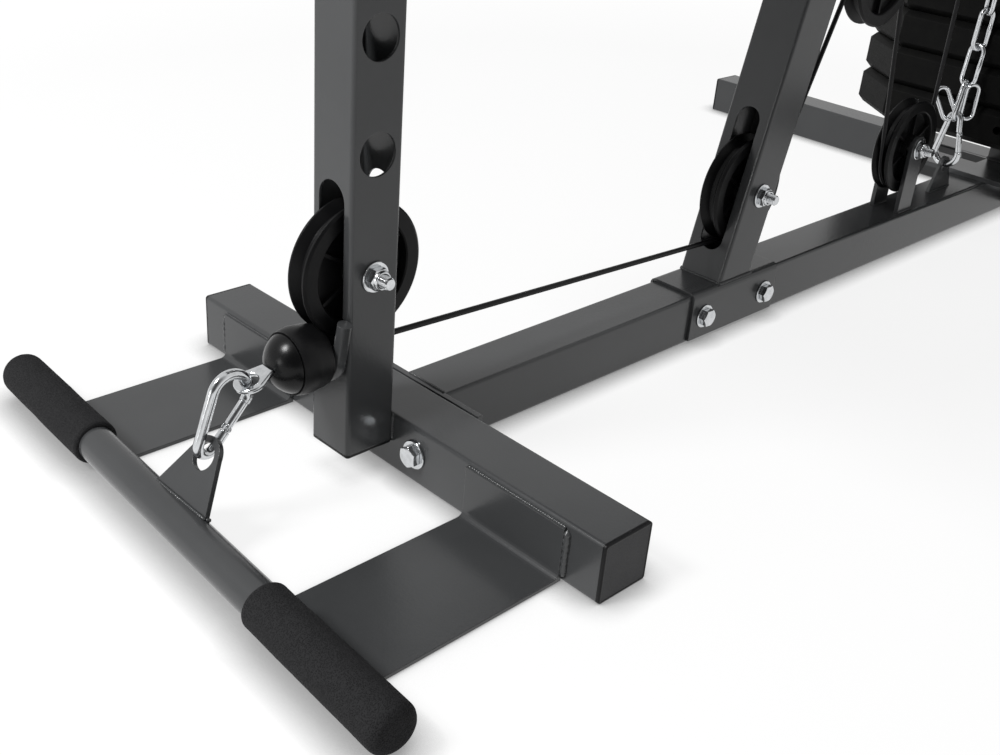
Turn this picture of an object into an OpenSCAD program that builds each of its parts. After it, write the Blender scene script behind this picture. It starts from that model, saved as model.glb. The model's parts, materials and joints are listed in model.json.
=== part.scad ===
// Multi gym with a low pulley, a lat bar, a press and butterfly arm and a guided weight stack.
// Millimetres, +Z up. X runs across the gym, +Y runs from the low pulley to the weight stack.

/* [Base frame] */
// Side of the square tubes of the base
base_w = 50; // [40:1:60]
// Wall of every steel tube
tube_wall = 2; // [1.5:0.5:3]
// Outer corner radius of the tubes
tube_corner = 3; // [1:0.5:5]
// Length of the front crossbar
front_crossbar_len = 492; // [440:2:640]
// Length of the rear crossbar
rear_crossbar_len = 970; // [800:10:1100]
// Distance from the front crossbar's front face to the rear crossbar's front face
beam_reach = 1100; // [1080:5:1180]
// Thickness of the bolted end flanges of the base beam
flange_t = 5; // [3:1:8]
// Width of the bolted end flanges
flange_w = 134; // [120:2:160]
// Distance between the two bolts of an end flange
flange_bolt_gap = 100; // [86:2:110]
// How far a plastic cap stands out of its tube
cap_lip = 3; // [2:0.5:5]

/* [Foot plates] */
// Inner edge of each foot plate from the middle of the gym
foot_inner = 110; // [80:1:120]
// Width of each foot plate
foot_w = 100; // [80:2:125]
// How far the foot plates reach in front of the crossbar
foot_reach = 176; // [150:2:190]
// Sheet thickness of the foot plates
foot_t = 3; // [2:0.5:4]
// Height of the upright flange of the foot plates
foot_flange_h = 46; // [30:1:48]

/* [Front upright] */
// Side of the square front upright
front_post_w = 45; // [40:1:50]
// Height of the front upright's lower end above the floor
front_post_z0 = 24; // [10:1:40]
// Height of the front upright's top
front_post_z1 = 560; // [550:5:640]
// Height of the lowest cross hole
cross_hole_z = 264; // [258:2:280]
// Distance between the cross holes
cross_hole_pitch = 80; // [60:2:84]
// Diameter of the cross holes
cross_hole_d = 32; // [32:1:36]
// Number of cross holes
cross_hole_count = 4; // [4:1:4]
// Height of the low pulley's axle
low_pulley_z = 172.5; // [172:0.5:176]

/* [Inclined upright] */
// Lean of the lower part of the main upright
lean = 13.6; // [12:0.2:15]
// Place of the main upright's front face at the top of the saddle
lean_foot_y = 422; // [415:1:435]
// Height where the main upright turns vertical
bend_z = 1000; // [980:5:1040]
// Height of the slot pulley's axle
slot_pulley_z = 137; // [130:1:140]
// Front edge of the saddle bracket
saddle_y0 = 379; // [370:1:385]
// Length of the saddle bracket
saddle_len = 141; // [136:1:170]
// Sheet thickness of the saddle bracket
saddle_t = 3; // [2:0.5:5]
// Distance between the two saddle bolts
saddle_bolt_gap = 101; // [90:1:110]

/* [Top boom] */
// Height of the boom rails' underside
boom_z0 = 1950; // [1900:10:2050]
// Height of the boom rails
boom_h = 50; // [40:2:60]
// Width of each boom rail
boom_rail_w = 25; // [20:1:30]
// Place of the boom's front end
boom_y0 = 140; // [120:5:145]

/* [Pulleys and cable] */
// Outer diameter of the pulleys
pulley_d = 108; // [100:1:112]
// Width of the pulleys
pulley_w = 21; // [18:1:24]
// Depth of the pulley's groove
groove_depth = 7; // [5:0.5:8]
// Diameter of the sheathed cable
cable_d = 5; // [4:0.5:6]
// Outer diameter of the bush in each pulley
bush_d = 16; // [14:1:20]
// Diameter of the pulley bolts
bolt_d = 10; // [8:1:12]
// Gap left between a bush and its pulley's bore
running_gap = 0.05; // [0.02:0.01:0.1]
// Height of the base pulley's axle
base_pulley_z = 126; // [122:1:140]
// Distance from the base pulley's axle back to the weight stack's middle
base_pulley_lead = 220; // [207:1:237]
// Height of the lower pulley of the floating block
block_z = 900; // [850:10:1000]
// Distance between the two pulleys of the floating block
block_pitch = 140; // [130:2:180]
// Distance from the floating block back to the weight stack's middle
block_lead = 137; // [137:1:141]
// Place of the press fork's pulley
fork_y = 655; // [645:1:656]
// Height of the press fork's pulley
fork_z = 333; // [325:1:345]
// Height of the press pulley in the main upright
press_pulley_z = 1150; // [1130:5:1200]
// Place of the boom's front pulley
front_boom_pulley_y = 210; // [205:1:230]

/* [Weight stack] */
// Number of weight plates
plate_count = 10; // [8:1:12]
// Number of plates that rest below the selector pin
resting_count = 5; // [4:1:7]
// Height of one weight plate with the gap above it
plate_pitch = 46.5; // [44:0.5:50]
// Gap between two weight plates
plate_gap = 0.8; // [0.5:0.1:1.5]
// Width of the weight plates
plate_w = 356; // [300:2:380]
// Depth of the weight plates
plate_d = 154; // [140:2:156]
// Width of the flat front of a weight plate
plate_front_w = 220; // [180:2:240]
// Depth of the flat side of a weight plate
plate_side_d = 46; // [30:2:60]
// Bevel of the weight plates' edges
plate_bevel = 7; // [4:0.5:10]
// Distance from the weight stack's middle back to the rear crossbar
stack_inset = 83; // [82:1:84]
// Height of the lowest weight plate
stack_z0 = 108.5; // [100:0.5:120]
// Distance between the guide rods
rod_gap = 210; // [180:2:230]
// Diameter of the guide rods
rod_d = 25; // [20:1:28]
// Gap between a guide rod and a plate's bore
rod_clearance = 0.6; // [0.4:0.1:1]
// Diameter of the selector stem
stem_d = 24; // [20:1:28]
// Angle of the selector pin away from straight ahead
pin_angle = 30; // [28:1:34]
// Diameter of the selector pin
pin_d = 9; // [8:0.5:10]

/* [Low bar and lat bar] */
// Diameter of the steel tube of both bars
bar_d = 29; // [25:1:30]
// Length of the low bar
low_bar_len = 526; // [480:2:540]
// Turn of the low bar away from square
low_bar_yaw = 2.8; // [0:0.1:3]
// Distance from the gym's middle plane to the low bar's middle
low_bar_x = 4; // [0:0.5:5]
// Diameter of the foam grips
grip_d = 36; // [33:1:38]
// Length of the foam grips
grip_len = 143; // [120:1:150]
// Straight middle length of the lat bar
lat_mid_len = 760; // [700:10:840]
// Length of each bent end of the lat bar
lat_end_len = 180; // [150:5:200]
// Droop of the lat bar's ends
lat_droop = 30; // [20:1:35]
// Diameter of the rubber ball stops
ball_d = 52; // [50:1:56]
// Length of a snap hook
hook_len = 71; // [70:1:76]
// Wire diameter of a snap hook
hook_wire = 8; // [7:0.5:8]

/* [Seat and pads] */
// Width of the seat pad
seat_w = 300; // [260:5:340]
// Length of the seat pad
seat_len = 395; // [360:5:405]
// Thickness of both pads
pad_t = 55; // [45:1:60]
// Height of the seat tube's top
seat_tube_z1 = 450; // [440:2:455]
// Width of the back pad
back_w = 260; // [220:5:300]
// Length of the back pad
back_len = 390; // [340:5:400]
// Diameter of the foam rollers
roller_d = 80; // [70:1:90]
// Length of each foam roller
roller_len = 150; // [130:5:170]
// Diameter of the roller tube
roller_tube_d = 30; // [28:0.5:31]

/* [Press and butterfly arms] */
// Height of the press frame's hinge
press_hinge_z = 1520; // [1480:5:1560]
// Distance from the hinge to the main upright's front face
press_hinge_out = 35; // [34:1:45]
// Side of the press frame's square tube
press_w = 40; // [36:1:44]
// Distance between the two butterfly pivots
butterfly_gap = 440; // [400:5:480]
// Reach of a butterfly arm from its pivot
arm_reach = 250; // [220:5:280]
// Angle of the butterfly arms at rest, forward of straight out
arm_rest_angle = 20; // [10:1:30]
// Diameter of the butterfly arm tube
arm_d = 38; // [32:1:42]
// Diameter of the arm foam
arm_foam_d = 90; // [80:1:100]
// Length of the arm foam
arm_foam_len = 300; // [260:5:340]
// Length of the handle at each arm's foot
handle_len = 150; // [120:5:180]
// Length of the foam on that handle
handle_foam_len = 125; // [100:5:140]

/* [Hidden] */

$fn = 48;
// Play between pieces that only pass each other
slack = 0.3;
// Play of a bolt in its hole
bolt_play = 0.25;
// Small overlap that keeps a cut clean
cut = 1;

cable_r = cable_d / 2;
pulley_r = pulley_d / 2;
wrap_r = pulley_r - groove_depth + cable_r + slack;
bolt_r = bolt_d / 2;
washer_r = bolt_d * 1.2;
washer_t = 2;
hex_r = bolt_d * 0.924;
head_h = bolt_d * 0.64;
nut_h = bolt_d * 0.84;
thread_end = bolt_d * 0.8;
flange_bolt_z = 26;
slot_w = pulley_w + 8;
slot_margin = 17;

stack_y = beam_reach - stack_inset;
base_pulley_y = stack_y - base_pulley_lead;
block_y = stack_y - block_lead;
beam_y0 = base_w;
beam_y1 = beam_reach;
rear_y0 = beam_reach;
rear_y1 = beam_reach + base_w;
rear_mid_y = rear_y0 + base_w / 2;

front_post_y = -front_post_w / 2;
low_pulley_c = [front_post_y, low_pulley_z];
lean_run = tan(lean);
saddle_top = base_w + saddle_t;
lean_depth = base_w / cos(lean);
function lean_front(z) = lean_foot_y + (z - saddle_top) * lean_run;
mast_y0 = lean_front(bend_z);
mast_y1 = mast_y0 + lean_depth;
mast_depth = mast_y1 - mast_y0;
mast_y = (mast_y0 + mast_y1) / 2;
slot_pulley_c = [lean_front(slot_pulley_z) + lean_depth / 2, slot_pulley_z];
base_pulley_c = [base_pulley_y, base_pulley_z];
fork_c = [fork_y, fork_z];
fork_top = [fork_y + 6, fork_z + pulley_r + 14];
press_pulley_c = [mast_y, press_pulley_z];
block_lower_c = [block_y, block_z];
block_upper_c = [block_y, block_z + block_pitch];
boom_mid_z = boom_z0 + boom_h / 2;
front_boom_c = [front_boom_pulley_y, boom_mid_z];
rear_boom_c = [block_y - 85, boom_mid_z];
stack_pulley_c = [stack_y - wrap_r, boom_mid_z];
rail_x = base_w / 2;

stack_top = stack_z0 + plate_count * plate_pitch;
head_plate_t = 25;
head_z = stack_top + head_plate_t;
stem_top = head_z + 30;
pin_z = stack_z0 + (resting_count + 0.5) * plate_pitch;
rod_plate_t = 6;
buffer_h = stack_z0 - base_w - rod_plate_t - slack;
pin_depth = stem_d / 2 - 1;
pin_out = 26;

bracket_t = 5;
bracket_w = 30;
bracket_x = pulley_w / 2 + 3;
cheek_t = 4;
cheek_w = 34;
hinge_half = 32;
hinge_ear_t = 5;

hook_cc = hook_len - hook_wire;
gate_z0 = 20;
gate_z1 = 50;
hook_low_r = 7;
hook_high_r = 15;
gate_angle = atan((hook_high_r - hook_low_r) / (hook_cc - hook_low_r - hook_high_r));
hook_tilt = 31;
lug_tilt = 36;
// Angle from the hook's cross direction up to the point of the broad bow that is in the eye
eye_on_bow = 47;
cradle_r = 5.5;
ball_r = ball_d / 2;
ball_back = 18.7;
ball_y = -front_post_w - 2 * cradle_r - ball_back - slack;
ball_z = 111;
eye_t = 4;
eye_hole_r = 7;
eye_r = 12.5;
eye_reach = 15;
eye_drop = 5;
// How far the hook's wire hangs from the middle of the eye's hole
eye_play = eye_hole_r - hook_wire / 2 - 0.6;

bar_r = bar_d / 2;
grip_r = grip_d / 2;
low_bar_z = foot_t + slack + grip_r;
lug_reach = 49;
lug_t = 4;
lug_hole_r = 10.5;
lug_r = 15.5;
grip_round = 8;
grip_end = 6;
low_hole_y = low_bar_y() + lug_reach * sin(lug_tilt);
low_hole_z = low_bar_z + lug_reach * cos(lug_tilt);
eye_y = ball_y - ball_r - eye_reach;
eye_z = low_hole_z + (hook_cc - hook_high_r) * cos(hook_tilt) + hook_high_r * sin(eye_on_bow - hook_tilt);
// The bar lies where the hook's upper bow meets the eye of the ball stop
function low_bar_y() = ball_y - ball_r - eye_reach - eye_play - hook_high_r * cos(eye_on_bow - hook_tilt)
    - (hook_cc - hook_high_r) * sin(hook_tilt) - lug_reach * sin(lug_tilt);

lat_y = front_boom_pulley_y - wrap_r;
lat_stop_z = boom_z0 - 20;
lat_ball_z = lat_stop_z - ball_back - slack;
lat_eye_z = lat_ball_z - ball_r - eye_reach;
lat_hook_z = lat_eye_z - eye_play - hook_cc;
// Rise of the hook's narrow bow at the faces of the lug that hangs in it
bow_inner_r = hook_low_r - hook_wire / 2;
bow_rise = bow_inner_r - sqrt(bow_inner_r * bow_inner_r - lug_t * lug_t / 4);
lat_bar_z = lat_hook_z - (lug_hole_r - hook_wire / 2 - slack - bow_rise) - lug_reach;

roller_z = cross_hole_z + (cross_hole_count - 1) * cross_hole_pitch;
roller_gap_x = front_post_w / 2 + 18;
roller_half = roller_gap_x + roller_len + 14;

press_hinge_y = mast_y0 - press_hinge_out;
press_y = press_hinge_y;
press_low_z = press_pulley_z + 43;
press_hook_z = press_pulley_z + wrap_r;
press_hook_y = press_y + press_w / 2 + 5;
cross_tube_z = press_hinge_z - 80;
arm_top_z = cross_tube_z + 54;
arm_low_z = press_low_z - 172;
arm_foam_z0 = arm_top_z - 70 - arm_foam_len;

// Front end of the low bar, rear end of the bolt heads, and the middle between them
sin_yaw = sin(low_bar_yaw);
cos_yaw = cos(low_bar_yaw);
front_end = low_bar_y() - ((low_bar_len / 2 - grip_round) * sin_yaw
    + (grip_r - grip_round) * cos_yaw + grip_round);
rear_end = rear_y1 + washer_t + head_h;
middle_y = (min(front_end, -foot_reach) + rear_end) / 2;

// Anchor chain from the lug on the base beam to the end of the low cable
link_wire = 6;
link_pitch = 42;
link_w = 23;
anchor_lead = 103;
anchor_y = stack_y - anchor_lead;
anchor_hole_z = 80;
anchor_hole_r = 7;
chain_top_y = block_y + wrap_r;
anchor_hook_z = anchor_hole_z + anchor_hole_r - hook_wire / 2 - slack;
chain_z0 = anchor_hook_z + hook_cc - hook_wire / 2 - link_wire / 2 - slack;
chain_steps = [9, 6, 3, 0, 0];
chain_turns = [90, 0, 60, -40, 42];
chain_count = len(chain_steps);
ferrule_z = chain_z0 + chain_count * link_pitch + 14;

// Points on an arc, with one point about every ten degrees
function arc(c, r, a0, a1) = let (n = max(2, ceil(abs(a1 - a0) / 10)))
    [for (i = [0 : n]) let (a = a0 + (a1 - a0) * i / n) [c[0] + r * cos(a), c[1] + r * sin(a)]];
// Rounded rectangle as a list of points
function rounded(w, h, r) = concat(
    arc_n([w / 2 - r, h / 2 - r], r, 0), arc_n([r - w / 2, h / 2 - r], r, 90),
    arc_n([r - w / 2, r - h / 2], r, 180), arc_n([w / 2 - r, r - h / 2], r, 270));
function arc_n(c, r, a0) = [for (i = [0 : 4]) [c[0] + r * cos(a0 + 22.5 * i), c[1] + r * sin(a0 + 22.5 * i)]];

// A cable goes round wheels given as [centre, radius, turn], where turn is 1 for
// anticlockwise seen from +X with +Y to the right, and -1 for clockwise
function leg_angle(a, b) = let (d = b[0] - a[0])
    atan2(d[1], d[0]) - asin((b[2] * b[1] - a[2] * a[1]) / norm(d));
function touch(w, angle) = [w[0][0] + w[1] * cos(angle - 90 * w[2]), w[0][1] + w[1] * sin(angle - 90 * w[2])];
// Straight stretch between two wheels
function run(a, b) = let (t = leg_angle(a, b)) [touch(a, t), touch(b, t)];
function turned(a0, a1, turn) = turn > 0
    ? (a1 < a0 - 0.001 ? turned(a0, a1 + 360, turn) : a1)
    : (a1 > a0 + 0.001 ? turned(a0, a1 - 360, turn) : a1);
// Turn round wheel w that comes from wheel a and goes on to wheel b
function wrap(a, w, b) = let (
    a0 = leg_angle(a, w) - 90 * w[2],
    a1 = leg_angle(w, b) - 90 * w[2])
    arc(w[0], w[1], a0, turned(a0, a1, w[2]));

low_end = [[ball_y + ball_back - 7, ball_z], 0, 1];
w_slot = [slot_pulley_c, wrap_r, 1];
// The low cable runs straight below the low pulley to the slot pulley
low_run = run(low_end, w_slot);
low_share = (front_post_y - low_run[0][0]) / (low_run[1][0] - low_run[0][0]);
low_guide = low_run[0] + (low_run[1] - low_run[0]) * low_share;
w_fork = [fork_c, wrap_r, -1];
w_base = [base_pulley_c, wrap_r, 1];
w_lower = [block_lower_c, wrap_r, -1];
chain_end = [[chain_top_y, ferrule_z], 0, 1];
lat_end = [[lat_y, lat_ball_z + ball_back - 7], 0, 1];
w_front = [front_boom_c, wrap_r, -1];
w_rear = [rear_boom_c, wrap_r, -1];
w_upper = [block_upper_c, wrap_r, 1];
w_stack = [stack_pulley_c, wrap_r, -1];
stem_end = [[stack_y, stem_top], 0, 1];
fork_eye = [[fork_top[0], fork_top[1] + bush_d / 2 + slack], 0, 1];
w_press = [press_pulley_c, wrap_r, 1];
press_eye = [[press_hook_y + 1, press_hook_z], 0, 1];

// Everything is drawn from the front crossbar's front face and then moved to the middle
module placed() { translate([0, -middle_y, 0]) children(); }
module paint() { color([0.35, 0.36, 0.38]) children(); }
module black() { color([0.08, 0.08, 0.09]) children(); }
module zinc() { color([0.78, 0.79, 0.8]) children(); }
module chrome() { color([0.85, 0.86, 0.88]) children(); }

// Square tube along +Z from the origin
module tube(w, d, length, wall = tube_wall) {
    linear_extrude(length) difference() {
        polygon(rounded(w, d, tube_corner));
        polygon(rounded(w - 2 * wall, d - 2 * wall, max(tube_corner - wall, 0.5)));
    }
}
module tube_x(y, z, length, w) { translate([-length / 2, y, z]) rotate([0, 90, 0]) tube(w, w, length); }
module tube_y(y0, y1, z, w) { translate([0, y0, z]) rotate([-90, 0, 0]) tube(w, w, y1 - y0); }
module tube_z(y, z0, z1, w, d) { translate([0, y, z0]) tube(w, d, z1 - z0); }
// Round hole along X through everything
module hole_x(c, r, half) { translate([-half, c[0], c[1]]) rotate([0, 90, 0]) cylinder(r = r, h = 2 * half); }
// Slot along Z, cut from front to back through a tube
module slot_y(y0, y1, z0, z1, w) {
    translate([0, y0, z0 + w / 2]) rotate([-90, 0, 0]) cylinder(d = w, h = y1 - y0);
    translate([0, y0, z1 - w / 2]) rotate([-90, 0, 0]) cylinder(d = w, h = y1 - y0);
    translate([-w / 2, y0, z0 + w / 2]) cube([w, y1 - y0, z1 - z0 - w]);
}
// Plastic cap that closes a square tube: a lip outside and a plug inside
module cap(w, d) {
    linear_extrude(cap_lip) polygon(rounded(w, d, tube_corner));
    translate([0, 0, -12]) linear_extrude(12 + cut / 2)
        polygon(rounded(w - 2 * tube_wall - slack, d - 2 * tube_wall - slack, 1));
}
// Bolt with head, washers and nut: the axis runs along +Z and grip is the clamped length
module bolt(grip, d = bolt_d) {
    k = d / bolt_d;
    translate([0, 0, -washer_t - head_h * k]) cylinder(r = hex_r * k, h = head_h * k, $fn = 6);
    translate([0, 0, -washer_t]) cylinder(r = washer_r * k, h = washer_t);
    translate([0, 0, -washer_t]) cylinder(d = d, h = grip + 2 * washer_t + nut_h * k + thread_end * k);
    translate([0, 0, grip]) cylinder(r = washer_r * k, h = washer_t);
    translate([0, 0, grip + washer_t]) cylinder(r = hex_r * k, h = nut_h * k, $fn = 6);
}
// Bolt across a tube of half width half, head on the side given by side
module cross_bolt(c, half, side = 1) {
    translate([side * half, c[0], c[1]]) rotate([0, -90 * side, 0]) bolt(2 * half);
}
// Bush that carries a pulley between two walls that stand half_gap from the middle
module bush(c, half_gap) {
    translate([-half_gap, c[0], c[1]]) rotate([0, 90, 0]) difference() {
        cylinder(d = bush_d, h = 2 * half_gap);
        translate([0, 0, -cut]) cylinder(r = bolt_r, h = 2 * half_gap + 2 * cut);
    }
}
// Pulley on the X axis: rim with a groove, thin web, hub and ribs
module pulley(c) {
    bore = bush_d / 2 + running_gap;
    h = pulley_w / 2;
    root = pulley_r - groove_depth;
    translate([0, c[0], c[1]]) rotate([0, 90, 0]) {
        rotate_extrude($fn = 64) polygon([
            [bore, -h], [bore + 6, -h], [bore + 7, -3], [root - 8, -3], [root - 6, -h + 1],
            [root - 5, -h], [pulley_r - 2, -h], [pulley_r, -h + 1.5], [pulley_r, -h + 3],
            [root, -2.3], [root, 2.3], [pulley_r, h - 3], [pulley_r, h - 1.5],
            [pulley_r - 2, h], [root - 5, h], [root - 6, h - 1], [root - 8, 3],
            [bore + 7, 3], [bore + 6, h], [bore, h]]);
        for (a = [0 : 60 : 300]) rotate([0, 0, a])
            translate([bore + 3, -1.5, -h + 3]) cube([root - bore - 9, 3, pulley_w - 6]);
    }
}
// Solid tube with round or faceted section that follows a path in the YZ plane
module sweep(path, r, sides = 8) {
    n = len(path);
    function way(i) = let (a = path[max(i - 1, 0)], b = path[min(i + 1, n - 1)]) (b - a) / norm(b - a);
    points = [for (i = [0 : n - 1]) let (d = way(i)) for (k = [0 : sides - 1])
        let (a = 360 * (k + 0.5) / sides)
        [r * cos(a), path[i][0] - d[1] * r * sin(a), path[i][1] + d[0] * r * sin(a)]];
    sides_faces = [for (i = [0 : n - 2]) for (k = [0 : sides - 1])
        let (p = i * sides + k, q = i * sides + (k + 1) % sides)
        for (f = [[p, q, q + sides], [p, q + sides, p + sides]]) f];
    polyhedron(points, concat(
        [[for (k = [sides - 1 : -1 : 0]) k]], sides_faces,
        [[for (k = [0 : sides - 1]) (n - 1) * sides + k]]), convexity = 8);
}
// Ring of wire that follows a closed path in the XZ plane
module ring(path, r, sides = 6) {
    n = len(path);
    function way(i) = let (a = path[(i + n - 1) % n], b = path[(i + 1) % n]) (b - a) / norm(b - a);
    points = [for (i = [0 : n - 1]) let (d = way(i)) for (k = [0 : sides - 1])
        let (a = 360 * k / sides)
        [path[i][0] + d[1] * r * cos(a), r * sin(a), path[i][1] - d[0] * r * cos(a)]];
    polyhedron(points, [for (i = [0 : n - 1]) for (k = [0 : sides - 1])
        let (p = i * sides + k, q = i * sides + (k + 1) % sides,
            p2 = ((i + 1) % n) * sides + k, q2 = ((i + 1) % n) * sides + (k + 1) % sides)
        for (f = [[p, q2, q], [p, p2, q2]]) f], convexity = 8);
}
// Centre line of a snap hook, narrow bow at the origin and broad bow at the top
function hook_path() = let (
    low = [0, hook_low_r], high = [0, hook_cc - hook_high_r],
    t = gate_angle)
    concat(
        [for (i = [0 : 7]) let (a = 180 + t + (180 - 2 * t) * i / 7) low + hook_low_r * [cos(a), sin(a)]],
        [for (i = [0 : 9]) let (a = -t + (180 + 2 * t) * i / 9) high + hook_high_r * [cos(a), sin(a)]]);
// Snap hook whose narrow bow is at the origin and broad bow is up
module snap_hook() { ring(hook_path(), hook_wire / 2, 8); }

// Base frame
module front_crossbar() placed() paint() difference() {
    tube_x(base_w / 2, base_w / 2, front_crossbar_len - 2 * cap_lip, base_w);
    for (s = [-1, 1]) translate([s * flange_bolt_gap / 2, -cut, flange_bolt_z])
        rotate([-90, 0, 0]) cylinder(r = bolt_r + bolt_play, h = base_w + 2 * cut);
}
module rear_crossbar() placed() paint() difference() {
    tube_x(rear_mid_y, base_w / 2, rear_crossbar_len - 2 * cap_lip, base_w);
    for (s = [-1, 1]) translate([s * flange_bolt_gap / 2, rear_y0 - cut, flange_bolt_z])
        rotate([-90, 0, 0]) cylinder(r = bolt_r + bolt_play, h = base_w + 2 * cut);
}
module end_caps() placed() black() {
    for (s = [-1, 1]) {
        translate([s * (front_crossbar_len / 2 - cap_lip), base_w / 2, base_w / 2])
            rotate([0, 90 * s, 0]) cap(base_w, base_w);
        translate([s * (rear_crossbar_len / 2 - cap_lip), rear_mid_y, base_w / 2])
            rotate([0, 90 * s, 0]) cap(base_w, base_w);
        for (end = [[boom_y0 + cap_lip, 90], [rear_y1, -90]])
            translate([s * (rail_x + boom_rail_w / 2), end[0], boom_mid_z])
                rotate([end[1], 0, 0]) cap(boom_rail_w, boom_h);
        translate([s * (roller_half - cap_lip), front_post_y, roller_z]) rotate([0, 90 * s, 0]) roller_cap();
    }
    translate([0, front_post_y, front_post_z0 + cap_lip]) rotate([180, 0, 0]) cap(front_post_w, front_post_w);
    translate([0, front_post_y, front_post_z1 - cap_lip]) cap(front_post_w, front_post_w);
    translate([0, mast_y, boom_z0 + boom_h]) cap(base_w, mast_depth);
    translate([0, rear_mid_y, boom_z0 + boom_h]) cap(base_w, base_w);
}
// Round cap on the end of the roller tube, broad enough to keep the foam on
module roller_cap() {
    cylinder(r = roller_tube_d / 2 + 8, h = cap_lip);
    translate([0, 0, -12]) cylinder(r = roller_tube_d / 2 - tube_wall - slack, h = 12 + cut / 2);
}
module foot_plates() placed() paint() for (s = [-1, 1]) {
    x0 = s > 0 ? foot_inner : -foot_inner - foot_w;
    translate([x0, 0, 0]) rotate([90, 0, 90]) linear_extrude(foot_w) polygon(concat(
        [[-foot_reach, 0], [0, 0], [0, foot_flange_h], [-foot_t, foot_flange_h]],
        [for (i = [0 : 4]) let (a = 360 - 22.5 * i)
            [-foot_t - 5 + 5 * cos(a), foot_t + 5 + 5 * sin(a)]],
        [[-foot_reach, foot_t]]));
}
module front_upright() placed() paint() difference() {
    tube_z(front_post_y, front_post_z0 + cap_lip, front_post_z1 - cap_lip, front_post_w, front_post_w);
    slot_y(-front_post_w - cut, cut, low_pulley_z - pulley_r - slot_margin,
        low_pulley_z + pulley_r + slot_margin, slot_w);
    for (i = [0 : cross_hole_count - 1])
        hole_x([front_post_y, cross_hole_z + i * cross_hole_pitch], cross_hole_d / 2, front_post_w);
    hole_x(low_pulley_c, bolt_r + bolt_play, front_post_w);
}
// Bent rod that seats the ball stop, welded to the front face of the front upright
module ball_cradle() placed() paint() {
    bow_r = 18;
    translate([0, -front_post_w - cradle_r, ball_z]) {
        rotate([90, 0, 0]) rotate_extrude(angle = -180, $fn = 64) translate([bow_r, 0]) circle(r = cradle_r);
        translate([bow_r, 0, 0]) sphere(r = cradle_r);
        translate([bow_r, 0, 0]) rotate([0, 11, 0]) cylinder(r = cradle_r, h = 32);
    }
}
module base_beam() placed() paint() {
    difference() {
        tube_y(beam_y0 + flange_t, beam_y1 - flange_t, base_w / 2, base_w);
        for (y = saddle_bolts()) hole_x([y, flange_bolt_z], bolt_r + bolt_play, base_w);
    }
    for (y = [beam_y0, beam_y1 - flange_t]) difference() {
        translate([-flange_w / 2, y, 0]) cube([flange_w, flange_t, base_w]);
        for (s = [-1, 1]) translate([s * flange_bolt_gap / 2, y - cut, flange_bolt_z])
            rotate([-90, 0, 0]) cylinder(r = bolt_r + bolt_play, h = flange_t + 2 * cut);
    }
}
function saddle_bolts() = let (m = saddle_y0 + saddle_len / 2)
    [m - saddle_bolt_gap / 2, m + saddle_bolt_gap / 2];
module saddle_bracket() placed() paint() difference() {
    outer = base_w + 2 * saddle_t;
    translate([0, saddle_y0, 0]) rotate([90, 0, 0]) mirror([0, 0, 1]) linear_extrude(saddle_len)
        difference() {
        translate([0, saddle_top - outer / 2]) polygon(rounded(outer, outer, tube_corner + saddle_t));
        translate([-base_w / 2, -outer]) square([base_w, outer + base_w]);
        translate([-outer, -outer]) square([2 * outer, outer + 3]);
    }
    for (y = saddle_bolts()) hole_x([y, flange_bolt_z], bolt_r + bolt_play, outer);
}
// Main upright: leans back from the saddle and turns vertical behind the seat
module main_upright() placed() paint() difference() {
    union() {
        leaning_tube(saddle_top, bend_z);
        translate([0, mast_y, bend_z]) tube(base_w, mast_depth, boom_z0 + boom_h - bend_z);
        hinge_bracket();
    }
    lean_slot();
    slot_y(mast_y0 - cut, mast_y1 + cut, press_pulley_z - pulley_r - slot_margin,
        press_pulley_z + pulley_r + slot_margin, slot_w);
    hole_x(slot_pulley_c, bolt_r + bolt_play, base_w);
    hole_x(press_pulley_c, bolt_r + bolt_play, base_w);
    hole_x([mast_y, boom_mid_z], bolt_r + bolt_play, base_w);
}
// Bracket with two ears that carries the press frame's hinge bolt
module hinge_bracket() difference() {
    union() {
        translate([-hinge_half - hinge_ear_t, mast_y0 - hinge_ear_t, press_hinge_z - 24])
            cube([2 * (hinge_half + hinge_ear_t), hinge_ear_t, 48]);
        for (s = [-1, 1]) translate([(s > 0 ? 0 : -hinge_ear_t) + s * hinge_half, press_hinge_y, press_hinge_z]) {
            rotate([0, 90, 0]) cylinder(r = 20, h = hinge_ear_t);
            translate([0, 0, -20]) cube([hinge_ear_t, press_hinge_out - 1, 40]);
        }
    }
    hole_x([press_hinge_y, press_hinge_z], bolt_r + bolt_play, 2 * base_w);
}
module leaning_tube(z0, z1) {
    intersection() {
        translate([0, lean_front(0), 0]) rotate([-lean, 0, 0])
            translate([0, base_w / 2, -60]) tube(base_w, base_w, (z1 + 120) / cos(lean));
        translate([-base_w, -base_w, z0]) cube([2 * base_w, beam_reach, z1 - z0]);
    }
}
module lean_slot() {
    z0 = slot_pulley_z - pulley_r - 2;
    z1 = slot_pulley_z + pulley_r + 30;
    translate([0, lean_front(z0), z0]) rotate([-lean, 0, 0])
        slot_y(-base_w, 2 * base_w, 0, (z1 - z0) / cos(lean), slot_w - 3);
}
module seat_tube() placed() paint() difference() {
    tube_y(0, lean_front(seat_tube_z1) + 5, seat_tube_z1 - front_post_w / 2, front_post_w);
    intersection() {
        translate([0, lean_front(0), 0]) rotate([-lean, 0, 0]) translate([-base_w, 0, 0])
            cube([2 * base_w, base_w, bend_z]);
        translate([-base_w, 0, seat_tube_z1 - 2 * base_w]) cube([2 * base_w, beam_reach, 4 * base_w]);
    }
}
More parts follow.
